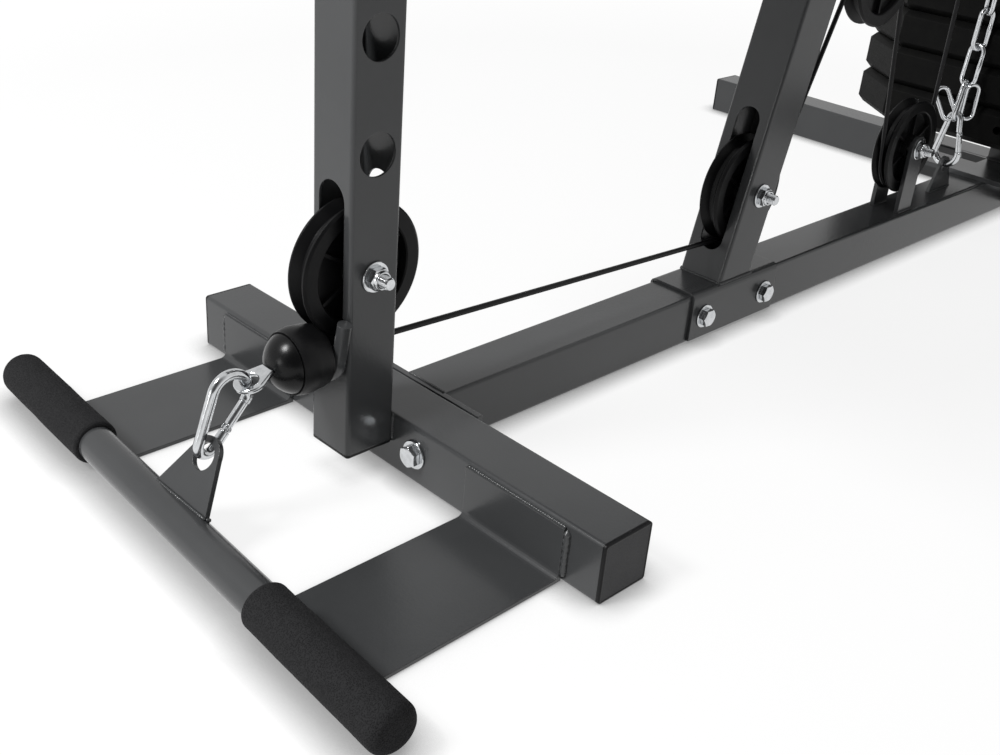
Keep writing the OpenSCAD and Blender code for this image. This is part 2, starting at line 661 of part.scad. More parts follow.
// Cushion: flat board side at the bottom, crowned top and drawn in sides
module cushion(w, l, t) {
    hull() {
        linear_extrude(1) polygon(rounded(w - 14, l - 14, 30));
        translate([0, 0, t * 0.35]) linear_extrude(t * 0.25) polygon(rounded(w, l, 34));
        translate([0, 0, t * 0.84]) linear_extrude(0.5) polygon(rounded(w - 36, l - 36, 34));
        translate([0, 0, t - 0.5]) linear_extrude(0.5) polygon(rounded(w * 0.55, l * 0.6, 40));
    }
}
module seat_pad() placed() black()
    translate([0, 22 + seat_len / 2, seat_tube_z1 + slack]) cushion(seat_w, seat_len, pad_t);
module back_pad() placed() black() translate([0, lean_front(0), 0]) rotate([-lean, 0, 0])
    translate([0, -slack, (seat_tube_z1 + pad_t + 55) / cos(lean) + back_len / 2])
        rotate([90, 0, 0]) cushion(back_w, back_len, pad_t);
module roller_tube() placed() chrome() translate([-roller_half + cap_lip, front_post_y, roller_z])
    rotate([0, 90, 0]) difference() {
        cylinder(d = roller_tube_d, h = 2 * (roller_half - cap_lip));
        translate([0, 0, -cut]) cylinder(d = roller_tube_d - 2 * tube_wall, h = 2 * roller_half);
    }
// Foam sleeve on the X axis with rounded rims
module foam(r, bore, length, round = 8) {
    rotate([0, 90, 0]) rotate_extrude($fn = 64) polygon(concat(
        [[bore, 0]],
        [for (i = [0 : 4]) let (a = 270 + 22.5 * i) [r - round + round * cos(a), round + round * sin(a)]],
        [for (i = [0 : 4]) let (a = 22.5 * i) [r - round + round * cos(a), length - round + round * sin(a)]],
        [[bore, length]]));
}
module foam_roller(s) placed() black()
    translate([s > 0 ? roller_gap_x : -roller_gap_x - roller_len, front_post_y, roller_z])
        foam(roller_d / 2, roller_tube_d / 2 + running_gap, roller_len);
module left_foam_roller() foam_roller(-1);
module right_foam_roller() foam_roller(1);
module rear_upright() placed() paint() difference() {
    tube_z(rear_mid_y, base_w, boom_z0 + boom_h, base_w, base_w);
    hole_x([rear_mid_y, boom_mid_z], bolt_r + bolt_play, base_w);
}
// Boom: two rails with the pulleys between them and a guide plate for the lat cable
module top_boom() placed() paint() {
    for (s = [-1, 1]) difference() {
        translate([s * (rail_x + boom_rail_w / 2), boom_y0 + cap_lip, boom_mid_z]) rotate([-90, 0, 0])
            tube(boom_rail_w, boom_h, rear_y1 - boom_y0 - cap_lip);
        for (y = boom_bolts()) hole_x([y, boom_mid_z], bolt_r + bolt_play, 2 * base_w);
    }
    difference() {
        translate([-rail_x - boom_rail_w, lat_y - 20, boom_z0 - 20])
            cube([2 * (rail_x + boom_rail_w), 33, 4]);
        translate([0, lat_y, boom_z0 - 21]) cylinder(r = cable_r + 3, h = 6);
    }
    for (s = [-1, 1]) translate([s * (rail_x + boom_rail_w - 2) - 2, lat_y - 20, boom_z0 - 16])
        cube([4, 33, 16]);
}
function boom_bolts() = [front_boom_c[0], mast_y, rear_boom_c[0], stack_pulley_c[0], rear_mid_y];
module guide_rods() placed() chrome() for (s = [-1, 1])
    translate([s * rod_gap / 2, stack_y, base_w + rod_plate_t])
        cylinder(d = rod_d, h = boom_z0 - base_w - 2 * rod_plate_t);
module rod_brackets() placed() paint() {
    half_len = rod_gap / 2 + 30;
    half_w = rod_d / 2 + 14.5;
    front_w = half_w + 13;
    translate([-half_len, stack_y - half_w, base_w]) cube([2 * half_len, 2 * half_w, rod_plate_t]);
    difference() {
        translate([-half_len, stack_y - front_w, boom_z0 - rod_plate_t])
            cube([2 * half_len, front_w + half_w, rod_plate_t]);
        translate([-slot_w / 2 - 2, stack_y - front_w - cut, boom_z0 - rod_plate_t - cut])
            cube([slot_w + 4, front_w + rod_d / 2 + cut, rod_plate_t + 2 * cut]);
    }
}
module rubber_buffers() placed() black() for (s = [-1, 1])
    translate([s * rod_gap / 2, stack_y, base_w + rod_plate_t])
    rotate_extrude($fn = 64) polygon([
        [rod_d / 2 + slack, 0], [rod_d / 2 + 14, 0], [rod_d / 2 + 16, 3],
        [rod_d / 2 + 16, buffer_h - 3], [rod_d / 2 + 14, buffer_h], [rod_d / 2 + slack, buffer_h]]);
// One weight plate: block with cut corners, bevelled edges, two rod bores and a stem bore
module weight_plate(i) {
    h = plate_pitch - plate_gap;
    translate([0, stack_y, stack_z0 + i * plate_pitch]) difference() {
        hull() {
            linear_extrude(h) polygon(plate_outline(plate_bevel));
            translate([0, 0, plate_bevel]) linear_extrude(h - 2 * plate_bevel) polygon(plate_outline(0));
        }
        for (s = [-1, 1]) translate([s * rod_gap / 2, 0, -cut])
            cylinder(d = rod_d + 2 * rod_clearance, h = h + 2 * cut);
        translate([0, 0, -cut]) cylinder(d = stem_d + 2 * rod_clearance, h = h + 2 * cut);
        rotate([0, 0, pin_angle]) translate([0, 0, plate_pitch / 2]) rotate([90, 0, 0])
            cylinder(d = pin_d + 1, h = plate_d);
    }
}
function plate_outline(inset) = let (
    x = plate_w / 2 - inset, y = plate_d / 2 - inset,
    fx = plate_front_w / 2 - inset * 0.4, sy = plate_side_d / 2 - inset * 0.3)
    [[fx, -y], [x, -sy], [x, sy], [fx, y], [-fx, y], [-x, sy], [-x, -sy], [-fx, -y]];
module resting_weight_plates() placed() black() for (i = [0 : resting_count - 1]) weight_plate(i);
module lifted_weight_plates() placed() black() {
    for (i = [resting_count : plate_count - 1]) weight_plate(i);
    translate([0, stack_y, stack_top]) difference() {
        linear_extrude(head_plate_t) polygon(plate_outline(14));
        for (s = [-1, 1]) translate([s * rod_gap / 2, 0, -cut])
            cylinder(d = rod_d + 2 * rod_clearance, h = head_plate_t + 2 * cut);
        translate([0, 0, -cut]) cylinder(d = stem_d + 2 * rod_clearance, h = head_plate_t + 2 * cut);
    }
}
module selector_stem() placed() chrome() difference() {
    union() {
        translate([0, stack_y, stack_z0]) cylinder(d = stem_d, h = head_z - stack_z0 + 6);
        translate([0, stack_y, head_z + slack]) cylinder(d = 1.7 * stem_d, h = 5);
        translate([0, stack_y, head_z + 5]) cylinder(d = 16, h = stem_top - head_z - 5);
    }
    for (i = [0 : plate_count - 1]) translate([0, stack_y, stack_z0 + (i + 0.5) * plate_pitch])
        rotate([0, 0, pin_angle]) rotate([90, 0, 0]) translate([0, 0, -stem_d])
            cylinder(d = pin_d + 0.6, h = 2 * stem_d);
}
module selector_pin() placed() zinc() translate([0, stack_y, pin_z])
    rotate([0, 0, pin_angle]) rotate([90, 0, 0]) {
        translate([0, 0, -pin_depth]) cylinder(d = pin_d, h = plate_d / 2 + pin_depth + pin_out);
        translate([0, 0, plate_d / 2 + pin_out - 2]) cylinder(d = 30, h = 16);
    }
// Flat bars for the base pulley and the lug for the chain, welded on the base beam
module beam_brackets() placed() paint() {
    for (s = [-1, 1]) translate([s > 0 ? bracket_x : -bracket_x - bracket_t, 0, 0]) difference() {
        union() {
            translate([0, base_pulley_y - bracket_w / 2, base_w])
                cube([bracket_t, bracket_w, base_pulley_z - base_w]);
            translate([0, base_pulley_y, base_pulley_z]) rotate([0, 90, 0])
                cylinder(d = bracket_w, h = bracket_t);
        }
        translate([-cut, base_pulley_y, base_pulley_z]) rotate([0, 90, 0])
            cylinder(r = bolt_r + bolt_play, h = bracket_t + 2 * cut);
    }
    translate([-lug_t / 2, anchor_y, 0]) rotate([90, 0, 90]) linear_extrude(lug_t) difference() {
        union() {
            polygon([[-26, base_w], [26, base_w], [10, anchor_hole_z + 6], [-10, anchor_hole_z + 6]]);
            translate([0, anchor_hole_z]) circle(r = 12);
        }
        translate([0, anchor_hole_z]) circle(r = anchor_hole_r);
    }
}

// Pulleys
module low_pulley() placed() black() pulley(low_pulley_c);
module slot_pulley() placed() black() pulley(slot_pulley_c);
module base_pulley() placed() black() pulley(base_pulley_c);
module block_upper_pulley() placed() black() pulley(block_upper_c);
module block_lower_pulley() placed() black() pulley(block_lower_c);
module fork_pulley() placed() black() pulley(fork_c);
module front_boom_pulley() placed() black() pulley(front_boom_c);
module rear_boom_pulley() placed() black() pulley(rear_boom_c);
module stack_pulley() placed() black() pulley(stack_pulley_c);
module press_pulley() placed() black() pulley(press_pulley_c);

// Two flat cheeks with their bolts, which carry both pulleys of the floating block
module cheek(c0, c1, s) {
    translate([s > 0 ? bracket_x : -bracket_x - cheek_t, 0, 0]) rotate([90, 0, 90]) linear_extrude(cheek_t)
        difference() {
            union() {
                translate([min(c0[0], c1[0]) - cheek_w / 2, c0[1]])
                    square([cheek_w + abs(c1[0] - c0[0]), c1[1] - c0[1]]);
                translate(c0) circle(d = cheek_w);
                translate(c1) circle(d = cheek_w);
            }
            translate(c0) circle(r = bolt_r);
            translate(c1) circle(r = bolt_r);
        }
}
module floating_block() placed() zinc() {
    for (s = [-1, 1]) cheek(block_lower_c, block_upper_c, s);
    for (c = [block_lower_c, block_upper_c]) {
        cross_bolt(c, bracket_x + cheek_t);
        bush(c, bracket_x);
    }
}
module fork_block() placed() zinc() {
    for (s = [-1, 1]) cheek(fork_c, fork_top, s);
    for (c = [fork_c, fork_top]) {
        cross_bolt(c, bracket_x + cheek_t);
        bush(c, bracket_x);
    }
}
// Bolts, washers, nuts and bushes that stay with the frame
module frame_bolts() placed() zinc() {
    cross_bolt(low_pulley_c, front_post_w / 2, -1);
    bush(low_pulley_c, front_post_w / 2 - tube_wall);
    for (c = [slot_pulley_c, press_pulley_c]) {
        cross_bolt(c, base_w / 2, -1);
        bush(c, base_w / 2 - tube_wall);
    }
    cross_bolt(base_pulley_c, bracket_x + bracket_t, -1);
    bush(base_pulley_c, bracket_x);
    for (c = [front_boom_c, rear_boom_c, stack_pulley_c]) {
        cross_bolt(c, rail_x + boom_rail_w);
        bush(c, rail_x);
    }
    for (y = [mast_y, rear_mid_y]) cross_bolt([y, boom_mid_z], rail_x + boom_rail_w);
    for (y = saddle_bolts()) cross_bolt([y, flange_bolt_z], base_w / 2 + saddle_t, 1);
    for (s = [-1, 1]) {
        translate([s * flange_bolt_gap / 2, 0, flange_bolt_z]) rotate([-90, 0, 0]) bolt(base_w + flange_t);
        translate([s * flange_bolt_gap / 2, rear_y1, flange_bolt_z]) rotate([90, 0, 0]) bolt(base_w + flange_t);
    }
    cross_bolt([press_hinge_y, press_hinge_z], hinge_half + hinge_ear_t);
}

// Press frame: hinge sleeve, hanging tube and cross tube with a socket at each end
module press_frame() placed() paint() difference() {
    union() {
        translate([-hinge_half + slack, press_hinge_y, press_hinge_z]) rotate([0, 90, 0])
            cylinder(r = press_w / 2, h = 2 * (hinge_half - slack));
        tube_z(press_y, press_low_z, press_hinge_z, press_w, press_w);
        tube_x(press_y, cross_tube_z, butterfly_gap, press_w);
        for (s = [-1, 1]) translate([s * butterfly_gap / 2, press_y, cross_tube_z - 34])
            cylinder(r = press_w / 2 + 4, h = 68);
        translate([-2, press_y + press_w / 2 - cut, press_hook_z - 4]) cube([4, 6 + cut, 14]);
    }
    translate([-hinge_half, press_hinge_y, press_hinge_z]) rotate([0, 90, 0])
        cylinder(r = bolt_r + running_gap, h = 2 * hinge_half);
    for (s = [-1, 1]) translate([s * butterfly_gap / 2, press_y, cross_tube_z - 35])
        cylinder(r = 12 + running_gap, h = 70);
}
// Butterfly arm: pivot pin, bent reach tube, hanging tube and handle
function arm_way(s) = [s * cos(arm_rest_angle), -sin(arm_rest_angle)];
function arm_end(s) = [s * butterfly_gap / 2 + arm_reach * arm_way(s)[0], press_y + arm_reach * arm_way(s)[1]];
module butterfly_arm(s) placed() paint() {
    e = arm_end(s);
    translate([s * butterfly_gap / 2, press_y, 0]) {
        translate([0, 0, cross_tube_z - 40]) cylinder(r = 12, h = arm_top_z - cross_tube_z + 40 + arm_d / 2);
        translate([0, 0, cross_tube_z - 46]) cylinder(r = 18, h = 11.5);
        translate([0, 0, arm_top_z]) rotate([0, 0, s > 0 ? -arm_rest_angle : 180 + arm_rest_angle])
            translate([-arm_d / 2, 0, 0]) rotate([0, 90, 0]) cylinder(d = arm_d, h = arm_reach + arm_d / 2);
    }
    translate([e[0], e[1], arm_low_z]) cylinder(d = arm_d - 2, h = arm_top_z - arm_low_z + arm_d / 2 - 1);
    translate([e[0], e[1], arm_low_z + arm_d / 2]) rotate([90, 0, 0]) cylinder(d = bar_d, h = handle_len);
}
module left_butterfly_arm() butterfly_arm(-1);
module right_butterfly_arm() butterfly_arm(1);
module arm_foam(s) placed() black() {
    e = arm_end(s);
    translate([e[0], e[1], arm_foam_z0 + arm_foam_len]) rotate([0, 90, 0])
        foam(arm_foam_d / 2, arm_d / 2 - 1 + running_gap, arm_foam_len);
    translate([e[0], e[1] - handle_len - 2, arm_low_z + arm_d / 2]) rotate([0, 0, 90])
        difference() {
            foam(grip_r, 0.5, handle_foam_len, 6);
            translate([2, 0, 0]) rotate([0, 90, 0]) cylinder(r = bar_r + running_gap, h = handle_foam_len);
        }
}
module left_arm_foam() arm_foam(-1);
module right_arm_foam() arm_foam(1);

// Ball stop on the cable's end: nose cap, seam and thicker back, with its back along +Z
module ball() {
    cap_r = ball_r - 0.8;
    rotate_extrude($fn = 64) polygon(concat(
        [[0, -cap_r]],
        [for (i = [1 : 8]) let (a = -90 + 64 * i / 8) [cap_r * cos(a), cap_r * sin(a)]],
        [for (i = [0 : 6]) let (a = -23 + 35 * i / 6) [ball_r * cos(a), ball_r * sin(a)]],
        [[ball_r - 1, 13], [ball_r - 3.5, 16.5], [ball_r - 8, ball_back], [cable_r + 0.6, ball_back],
            [cable_r + 0.6, ball_back - 7 - slack], [0, ball_back - 7 - slack]]));
}
module low_ball_stop() placed() black() translate([0, ball_y, ball_z]) rotate([-90, 0, 0]) ball();
module lat_ball_stop() placed() black() translate([0, lat_y, lat_ball_z]) ball();
// Flat eye in the XY plane that the snap hook goes through; its stud reaches to +Y
module eye(stud) {
    translate([0, 0, -eye_t / 2]) linear_extrude(eye_t) difference() {
        polygon(concat(
            [for (i = [0 : 12]) let (a = 165 + 210 * i / 12) [eye_r * cos(a), eye_r * sin(a)]],
            [[8.5, stud * 0.7], [6.5, stud], [-6.5, stud], [-8.5, stud * 0.7]]));
        circle(r = eye_hole_r);
    }
}
module low_snap_hook() placed() zinc()
    translate([0, low_hole_y, low_hole_z]) rotate([-hook_tilt, 0, 0]) rotate([0, 0, 90]) open_hook();
module low_eye() placed() zinc()
    translate([0, eye_y, eye_z]) rotate([atan(eye_drop / eye_reach), 0, 0]) eye(eye_reach + 2);
// Hook without the gate's stretch of wire
module open_hook() { difference() { snap_hook(); gate_space(); } }
module gate_space() {
    translate([0, -hook_wire, gate_z0]) cube([30, 2 * hook_wire, gate_z1 - gate_z0]);
}
module gate() {
    x0 = hook_low_r / cos(gate_angle) + (gate_z0 - hook_low_r) * tan(gate_angle);
    translate([x0, 0, gate_z0]) rotate([0, gate_angle, 0]) translate([0, 0, 1.6])
        cylinder(d = hook_wire - 1.5, h = (gate_z1 - gate_z0) / cos(gate_angle) - 3, $fn = 24);
}
module low_hook_gate() placed() zinc()
    translate([0, low_hole_y, low_hole_z]) rotate([-hook_tilt, 0, 0]) rotate([0, 0, 90]) gate();
// Lug plate with the hook's hole, welded on a bar that lies on the X axis
module bar_lug() {
    translate([0, lug_t / 2, 0]) rotate([90, 0, 0]) linear_extrude(lug_t) difference() {
        union() {
            polygon([[-33, bar_r - 3], [33, bar_r - 3], [lug_r - 1.5, lug_reach + 6], [1.5 - lug_r, lug_reach + 6]]);
            translate([0, lug_reach]) circle(r = lug_r);
        }
        translate([0, lug_reach]) circle(r = lug_hole_r);
    }
}
module low_bar() placed() paint() translate([low_bar_x, low_bar_y(), low_bar_z]) rotate([0, 0, -low_bar_yaw]) {
    difference() {
        translate([-low_bar_len / 2 + grip_end, 0, 0]) rotate([0, 90, 0])
            cylinder(r = bar_r, h = low_bar_len - 2 * grip_end);
        translate([-low_bar_len / 2, 0, 0]) rotate([0, 90, 0]) cylinder(r = bar_r - tube_wall, h = low_bar_len);
    }
    rotate([0, 0, low_bar_yaw]) rotate([-lug_tilt, 0, 0]) bar_lug();
}
// Closed foam grip: sleeve with a rounded end over the tube's end
module grip(length) {
    difference() {
        foam(grip_r, 0.01, length, grip_round);
        translate([-cut, 0, 0]) rotate([0, 90, 0]) cylinder(r = bar_r + running_gap, h = length - grip_end + cut);
    }
}
module low_bar_grips() placed() black() translate([low_bar_x, low_bar_y(), low_bar_z])
    rotate([0, 0, -low_bar_yaw])
    for (s = [0, 180]) rotate([0, 0, s]) translate([low_bar_len / 2 - grip_len, 0, 0]) grip(grip_len);
// Lat bar: straight middle and drooping ends
module lat_bar() placed() paint() translate([0, lat_y, lat_bar_z]) {
    difference() {
        lat_tubes(bar_r, bar_r + 0.2, lat_end_len - grip_end);
        lat_tubes(bar_r - tube_wall, bar_r - tube_wall, lat_end_len);
    }
    bar_lug();
}
module lat_tubes(r, knee_r, end_len) {
    translate([-lat_mid_len / 2, 0, 0]) rotate([0, 90, 0]) cylinder(r = r, h = lat_mid_len);
    for (s = [0, 180]) rotate([0, 0, s]) translate([lat_mid_len / 2, 0, 0]) {
        sphere(r = knee_r);
        rotate([0, 90 + lat_droop, 0]) cylinder(r = r, h = end_len);
    }
}
module lat_bar_grips() placed() black() translate([0, lat_y, lat_bar_z])
    for (s = [0, 180]) rotate([0, 0, s]) translate([lat_mid_len / 2, 0, 0]) rotate([0, lat_droop, 0])
        translate([lat_end_len - grip_len, 0, 0]) grip(grip_len);
module lat_snap_hook() placed() zinc() {
    translate([0, lat_y, lat_hook_z]) rotate([0, 0, 90]) snap_hook();
    translate([0, lat_y, lat_eye_z]) rotate([90, 0, 0]) eye(eye_reach + 2);
}

// Long link standing on its lower bow, which has its middle at the origin
function link_path() = let (r = (link_w - link_wire) / 2, top = link_pitch + link_wire - r)
    concat([for (i = [0 : 7]) let (a = 180 + 180 * i / 7) [r * cos(a), r + r * sin(a)]],
        [for (i = [0 : 7]) let (a = 180 * i / 7) [r * cos(a), top + r * sin(a)]]);
function chain_y(i) = i == 0 ? 0 : chain_y(i - 1) + chain_steps[i - 1] * (chain_top_y - anchor_y) / 18;
module anchor_chain() placed() zinc() {
    translate([0, anchor_y, anchor_hook_z + hook_cc]) rotate([0, 180, 0]) snap_hook();
    for (i = [0 : chain_count - 1]) translate([0, anchor_y + chain_y(i), chain_z0 + i * link_pitch])
        rotate([-asin(chain_steps[i] * (chain_top_y - anchor_y) / 18 / link_pitch), 0, 0])
            rotate([0, 0, chain_turns[i]])
            ring(link_path(), link_wire / 2 - slack / 2);
    translate([0, chain_top_y, ferrule_z - 12]) cylinder(d = 12, h = 12);
    translate([0, chain_top_y, ferrule_z - 12 - 7]) rotate([0, 0, 90]) rotate([90, 0, 0])
        rotate_extrude() translate([7, 0]) circle(r = 2.2, $fn = 24);
}

// Cables
// Path with both ends drawn back a little
function trimmed(p) = let (n = len(p), a = (p[1] - p[0]) / norm(p[1] - p[0]),
    b = (p[n - 2] - p[n - 1]) / norm(p[n - 2] - p[n - 1]))
    [for (i = [0 : n - 1]) i == 0 ? p[0] + slack * a : i == n - 1 ? p[n - 1] + slack * b : p[i]];
module frame_cables() placed() black() {
    sweep(concat([low_guide], wrap(low_end, w_slot, w_fork)), cable_r);
    sweep(wrap(w_fork, w_base, w_lower), cable_r);
    sweep(concat(wrap(lat_end, w_front, w_rear), wrap(w_front, w_rear, w_upper)), cable_r);
    sweep(wrap(w_upper, w_stack, stem_end), cable_r);
    sweep(wrap(fork_eye, w_press, press_eye), cable_r);
}
module low_cable_tail() placed() black() sweep(trimmed([low_run[0], low_guide]), cable_r);
module lat_cable_tail() placed() black() sweep(trimmed(run(lat_end, w_front)), cable_r);
module stack_cable() placed() black() sweep(trimmed(run(w_stack, stem_end)), cable_r);
module block_cables() placed() black() {
    sweep(trimmed(concat([run(w_base, w_lower)[0]], wrap(w_base, w_lower, chain_end), [chain_end[0]])), cable_r);
    sweep(trimmed(concat([run(w_rear, w_upper)[0]], wrap(w_rear, w_upper, w_stack),
        [run(w_upper, w_stack)[1]])), cable_r);
}
module fork_cables() placed() black() {
    sweep(trimmed(concat([run(w_slot, w_fork)[0]], wrap(w_slot, w_fork, w_base), [run(w_fork, w_base)[1]])), cable_r);
    sweep(trimmed(run(fork_eye, w_press)), cable_r);
    sweep(trimmed(run(w_press, press_eye)), cable_r);
}

front_crossbar();
end_caps();
foot_plates();
front_upright();
ball_cradle();
base_beam();
saddle_bracket();
main_upright();
seat_tube();
seat_pad();
back_pad();
roller_tube();
left_foam_roller();
right_foam_roller();
rear_crossbar();
rear_upright();
top_boom();
guide_rods();
rod_brackets();
rubber_buffers();
resting_weight_plates();
lifted_weight_plates();
selector_stem();
selector_pin();
beam_brackets();
low_pulley();
slot_pulley();
base_pulley();
floating_block();
block_upper_pulley();
block_lower_pulley();
fork_block();
fork_pulley();
front_boom_pulley();
rear_boom_pulley();
stack_pulley();
press_pulley();
frame_bolts();
press_frame();
left_butterfly_arm();
right_butterfly_arm();
left_arm_foam();
right_arm_foam();
low_ball_stop();
low_eye();
low_snap_hook();
low_hook_gate();
low_bar();
low_bar_grips();
lat_ball_stop();
lat_snap_hook();
lat_bar();
lat_bar_grips();
anchor_chain();
frame_cables();
low_cable_tail();
lat_cable_tail();
stack_cable();
block_cables();
fork_cables();
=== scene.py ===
import json
import math
from collections import namedtuple

import bmesh
import bpy
from mathutils import Matrix, Vector, noise


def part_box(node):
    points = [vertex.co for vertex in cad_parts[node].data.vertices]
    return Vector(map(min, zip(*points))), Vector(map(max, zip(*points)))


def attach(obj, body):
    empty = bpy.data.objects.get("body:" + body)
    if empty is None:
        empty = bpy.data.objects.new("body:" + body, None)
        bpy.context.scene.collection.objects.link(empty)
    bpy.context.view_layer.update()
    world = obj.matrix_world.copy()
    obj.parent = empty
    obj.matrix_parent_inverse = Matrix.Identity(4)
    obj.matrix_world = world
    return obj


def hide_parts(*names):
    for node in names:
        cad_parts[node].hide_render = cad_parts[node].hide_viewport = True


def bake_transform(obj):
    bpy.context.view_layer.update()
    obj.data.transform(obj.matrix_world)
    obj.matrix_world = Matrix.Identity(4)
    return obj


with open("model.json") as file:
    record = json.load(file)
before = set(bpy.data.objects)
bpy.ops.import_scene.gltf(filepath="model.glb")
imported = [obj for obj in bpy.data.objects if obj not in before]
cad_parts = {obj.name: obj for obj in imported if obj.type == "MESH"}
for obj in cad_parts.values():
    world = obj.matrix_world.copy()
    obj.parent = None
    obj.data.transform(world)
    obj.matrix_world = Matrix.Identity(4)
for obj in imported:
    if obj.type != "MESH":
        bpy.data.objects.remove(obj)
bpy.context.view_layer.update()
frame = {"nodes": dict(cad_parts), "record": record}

# Camera of the photograph: place in metres, turn as its three axes, focal length and picture centre in pixels
PICTURE_W = 1000
PICTURE_H = 755
SENSOR_MM = 36
FOCAL_PX = 1224.805
CENTRE_PX = (482.701, 384.896)
CAMERA_PLACE = (0.651157, -1.017307, 0.53401)
CAMERA_RIGHT = (0.68767898, 0.72278656, 0.06839013)
CAMERA_DOWN = (0.38883608, -0.28711643, -0.87542598)
CAMERA_AHEAD = (-0.61311021, 0.6286046, -0.47848943)

# Studio: the lamps' distance and directions from the front upright, their sizes and power, and the levels of
# the surroundings and of the floor. Distances are in metres, and the height that is lit in millimetres
LIGHT_DISTANCE = 3.2
LIT_Z = 150
KEY_FROM = (-0.2, -0.62, 0.75)
KEY_SIZE = 0.9
KEY_WATTS = 100
LOW_FROM = (-0.12, -0.98, 0.12)
LOW_SIZE = 0.7
LOW_WATTS = 8
FRONT_LEVEL = 0.45
REAR_LEVEL = 0.15
REAR_EDGE = (0.2, 0.9)
GLOSS_LEVEL = 0.78
ROOM_SIDE = (0.6, -0.63, 0.42)
ROOM_LEVEL = 0.08
ROOM_EDGE = (0.55, 0.95)
FLOOR_GLOW = 0.86
FLOOR_SHADE = (0.14, 0.14, 0.14, 1)
# Painted contact shadow on the floor: near the object the floor's glow for camera rays falls towards this
# level, by ambient occlusion within this reach
PAINTED_SHADOW_GLOW = 0.25
PAINTED_SHADOW_REACH = 0.026
PAINTED_SHADOW_EDGE = 0.45
NEAR_FLOOR = 1.2
FAR_FLOOR = 3.0
FLOOR_HALF = 30
FLOOR_PALE = (0.8, 0.8, 0.8, 1)

# Sizes of the part in millimetres and turns in radians, with y counted from the front crossbar's front face
MM = 0.001
QUARTER = math.pi / 2
FRONT_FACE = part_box("front_crossbar")[0].y / MM
BASE_W = 50
FRONT_POST_W = 45
FRONT_POST_Z0 = 24
FRONT_POST_Z1 = 560
CROSSBAR_LEN = 492
REAR_CROSSBAR_LEN = 970
FOOT_INNER = 110
FOOT_W = 100
FOOT_T = 3
FOOT_FLANGE_H = 46
FLANGE_T = 5
FLANGE_BOLT_GAP = 100
FLANGE_BOLT_Z = 26
BEAM_REACH = 1100
SADDLE_T = 3
SADDLE_Y0 = 379
SADDLE_LEN = 141
SADDLE_BOLT_GAP = 101
SADDLE_TOP = BASE_W + SADDLE_T
LEAN = math.radians(13.6)
LEAN_FOOT_Y = 422
LEAN_DEPTH = BASE_W / math.cos(LEAN)
BEND_Z = 1000
SLOT_AXLE_Z = 137
BOOM_Z0 = 1950
BOOM_H = 50
BOOM_RAIL_W = 25
BOOM_Y0 = 140
TUBE_WALL = 2
TUBE_CORNER = 3
CAP_LIP = 3
PULLEY_D = 108
PULLEY_W = 21
GROOVE_DEPTH = 7
CABLE_R = 2.5
SLACK = 0.3
WRAP_R = PULLEY_D / 2 - GROOVE_DEPTH + CABLE_R + SLACK
BOLT_R = 5
WASHER_R = 12
WASHER_T = 2
HEX_R = 9.24
HEAD_H = 6.4
NUT_H = 8.4
THREAD_END = 8
BUSH_R = 8
BRACKET_T = 5
BRACKET_X = PULLEY_W / 2 + 3
CHEEK_T = 4
CHEEK_W = 34
STACK_Y = 1017
STACK_TOP = 573.5
STEM_TOP = STACK_TOP + 55
HINGE_Z = 1520
HINGE_OUT = 35
HINGE_HALF = 32
HINGE_EAR_T = 5
HOOK_LEN = 71
HOOK_WIRE = 8
HOOK_SPAN = HOOK_LEN - HOOK_WIRE
HOOK_LOW_R = 7
HOOK_HIGH_R = 15
GATE_Z0 = 20
GATE_Z1 = 50
GATE_R = 3.4
TONGUE = 4.6
TONGUE_R = 2.4
PIN_UP = 2.6
BALL_R = 26
BALL_BACK = 18.7
CABLE_IN_BALL = 7
CRADLE_WIRE = 11
BALL_Y = -FRONT_POST_W - CRADLE_WIRE - BALL_BACK - SLACK
BALL_Z = 111
EYE_HOLE_R = 7
EYE_R = 12.5
EYE_T = 4
EYE_REACH = 15
EYE_DROP = 5
EYE_PLAY = EYE_HOLE_R - HOOK_WIRE / 2 - 0.6
EYE_ON_BOW = math.radians(47)
HOOK_TILT = math.radians(31)
LUG_TILT = math.radians(36)
LUG_REACH = 49
LUG_T = 4
LUG_HOLE_R = 10.5
LUG_HALF = 33
BAR_R = 14.5
GRIP_R = 18
GRIP_LEN = 143
GRIP_ROUND = 8
LOW_BAR_LEN = 526
LOW_BAR_YAW = math.radians(2.8)
LOW_BAR_X = 4
LOW_BAR_Z = FOOT_T + SLACK + GRIP_R
LAT_MID_LEN = 760
LAT_END_LEN = 180
LAT_DROOP = math.radians(30)
LAT_STOP_DROP = 20
ANCHOR_Y = 914
ANCHOR_HOLE_Z = 80
ANCHOR_HOLE_R = 7
LINK_WIRE = 6
LINK_PITCH = 42
LINK_W = 23
FERRULE_RISE = 14
RING_R = 7
RING_WIRE = 4.4
RING_DROP = 19
CHAIN_STEPS = (9, 6, 3, 0, 0)
CHAIN_TURNS = (90, 0, 60, -40, 42)
SPARE_LINKS = ((9, 9.4, 2, 0), (-4.1, -4.3, 1, math.radians(-30)))
SPARE_TURN = math.radians(46)
SPARE_SIZE = 0.88
SEAT_W = 300
SEAT_LEN = 395
SEAT_Y0 = 22
SEAT_TUBE_Z1 = 450
BACK_W = 260
BACK_LEN = 390
PAD_T = 55
PAD_GAP = 55
ROLLER_Z = 504
ROLLER_HALF = 204.5
ROLLER_CAP_R = 23
ROLLER_BORE_R = 15.05
BUTTERFLY_GAP = 440
ARM_REACH = 250
ARM_ANGLE = math.radians(20)
ARM_R = 19
ARM_FOAM_R = 45
ARM_FOAM_LEN = 300
ARM_TOP_DROP = 26
ARM_FOOT_DROP = 129
ARM_FOAM_DROP = 70
HANDLE_LEN = 150
HANDLE_FOAM_LEN = 125
PRESS_W = 40


def lean_front(z):
    """Place of the inclined upright's front face at a height."""
    return LEAN_FOOT_Y + (z - SADDLE_TOP) * math.tan(LEAN)


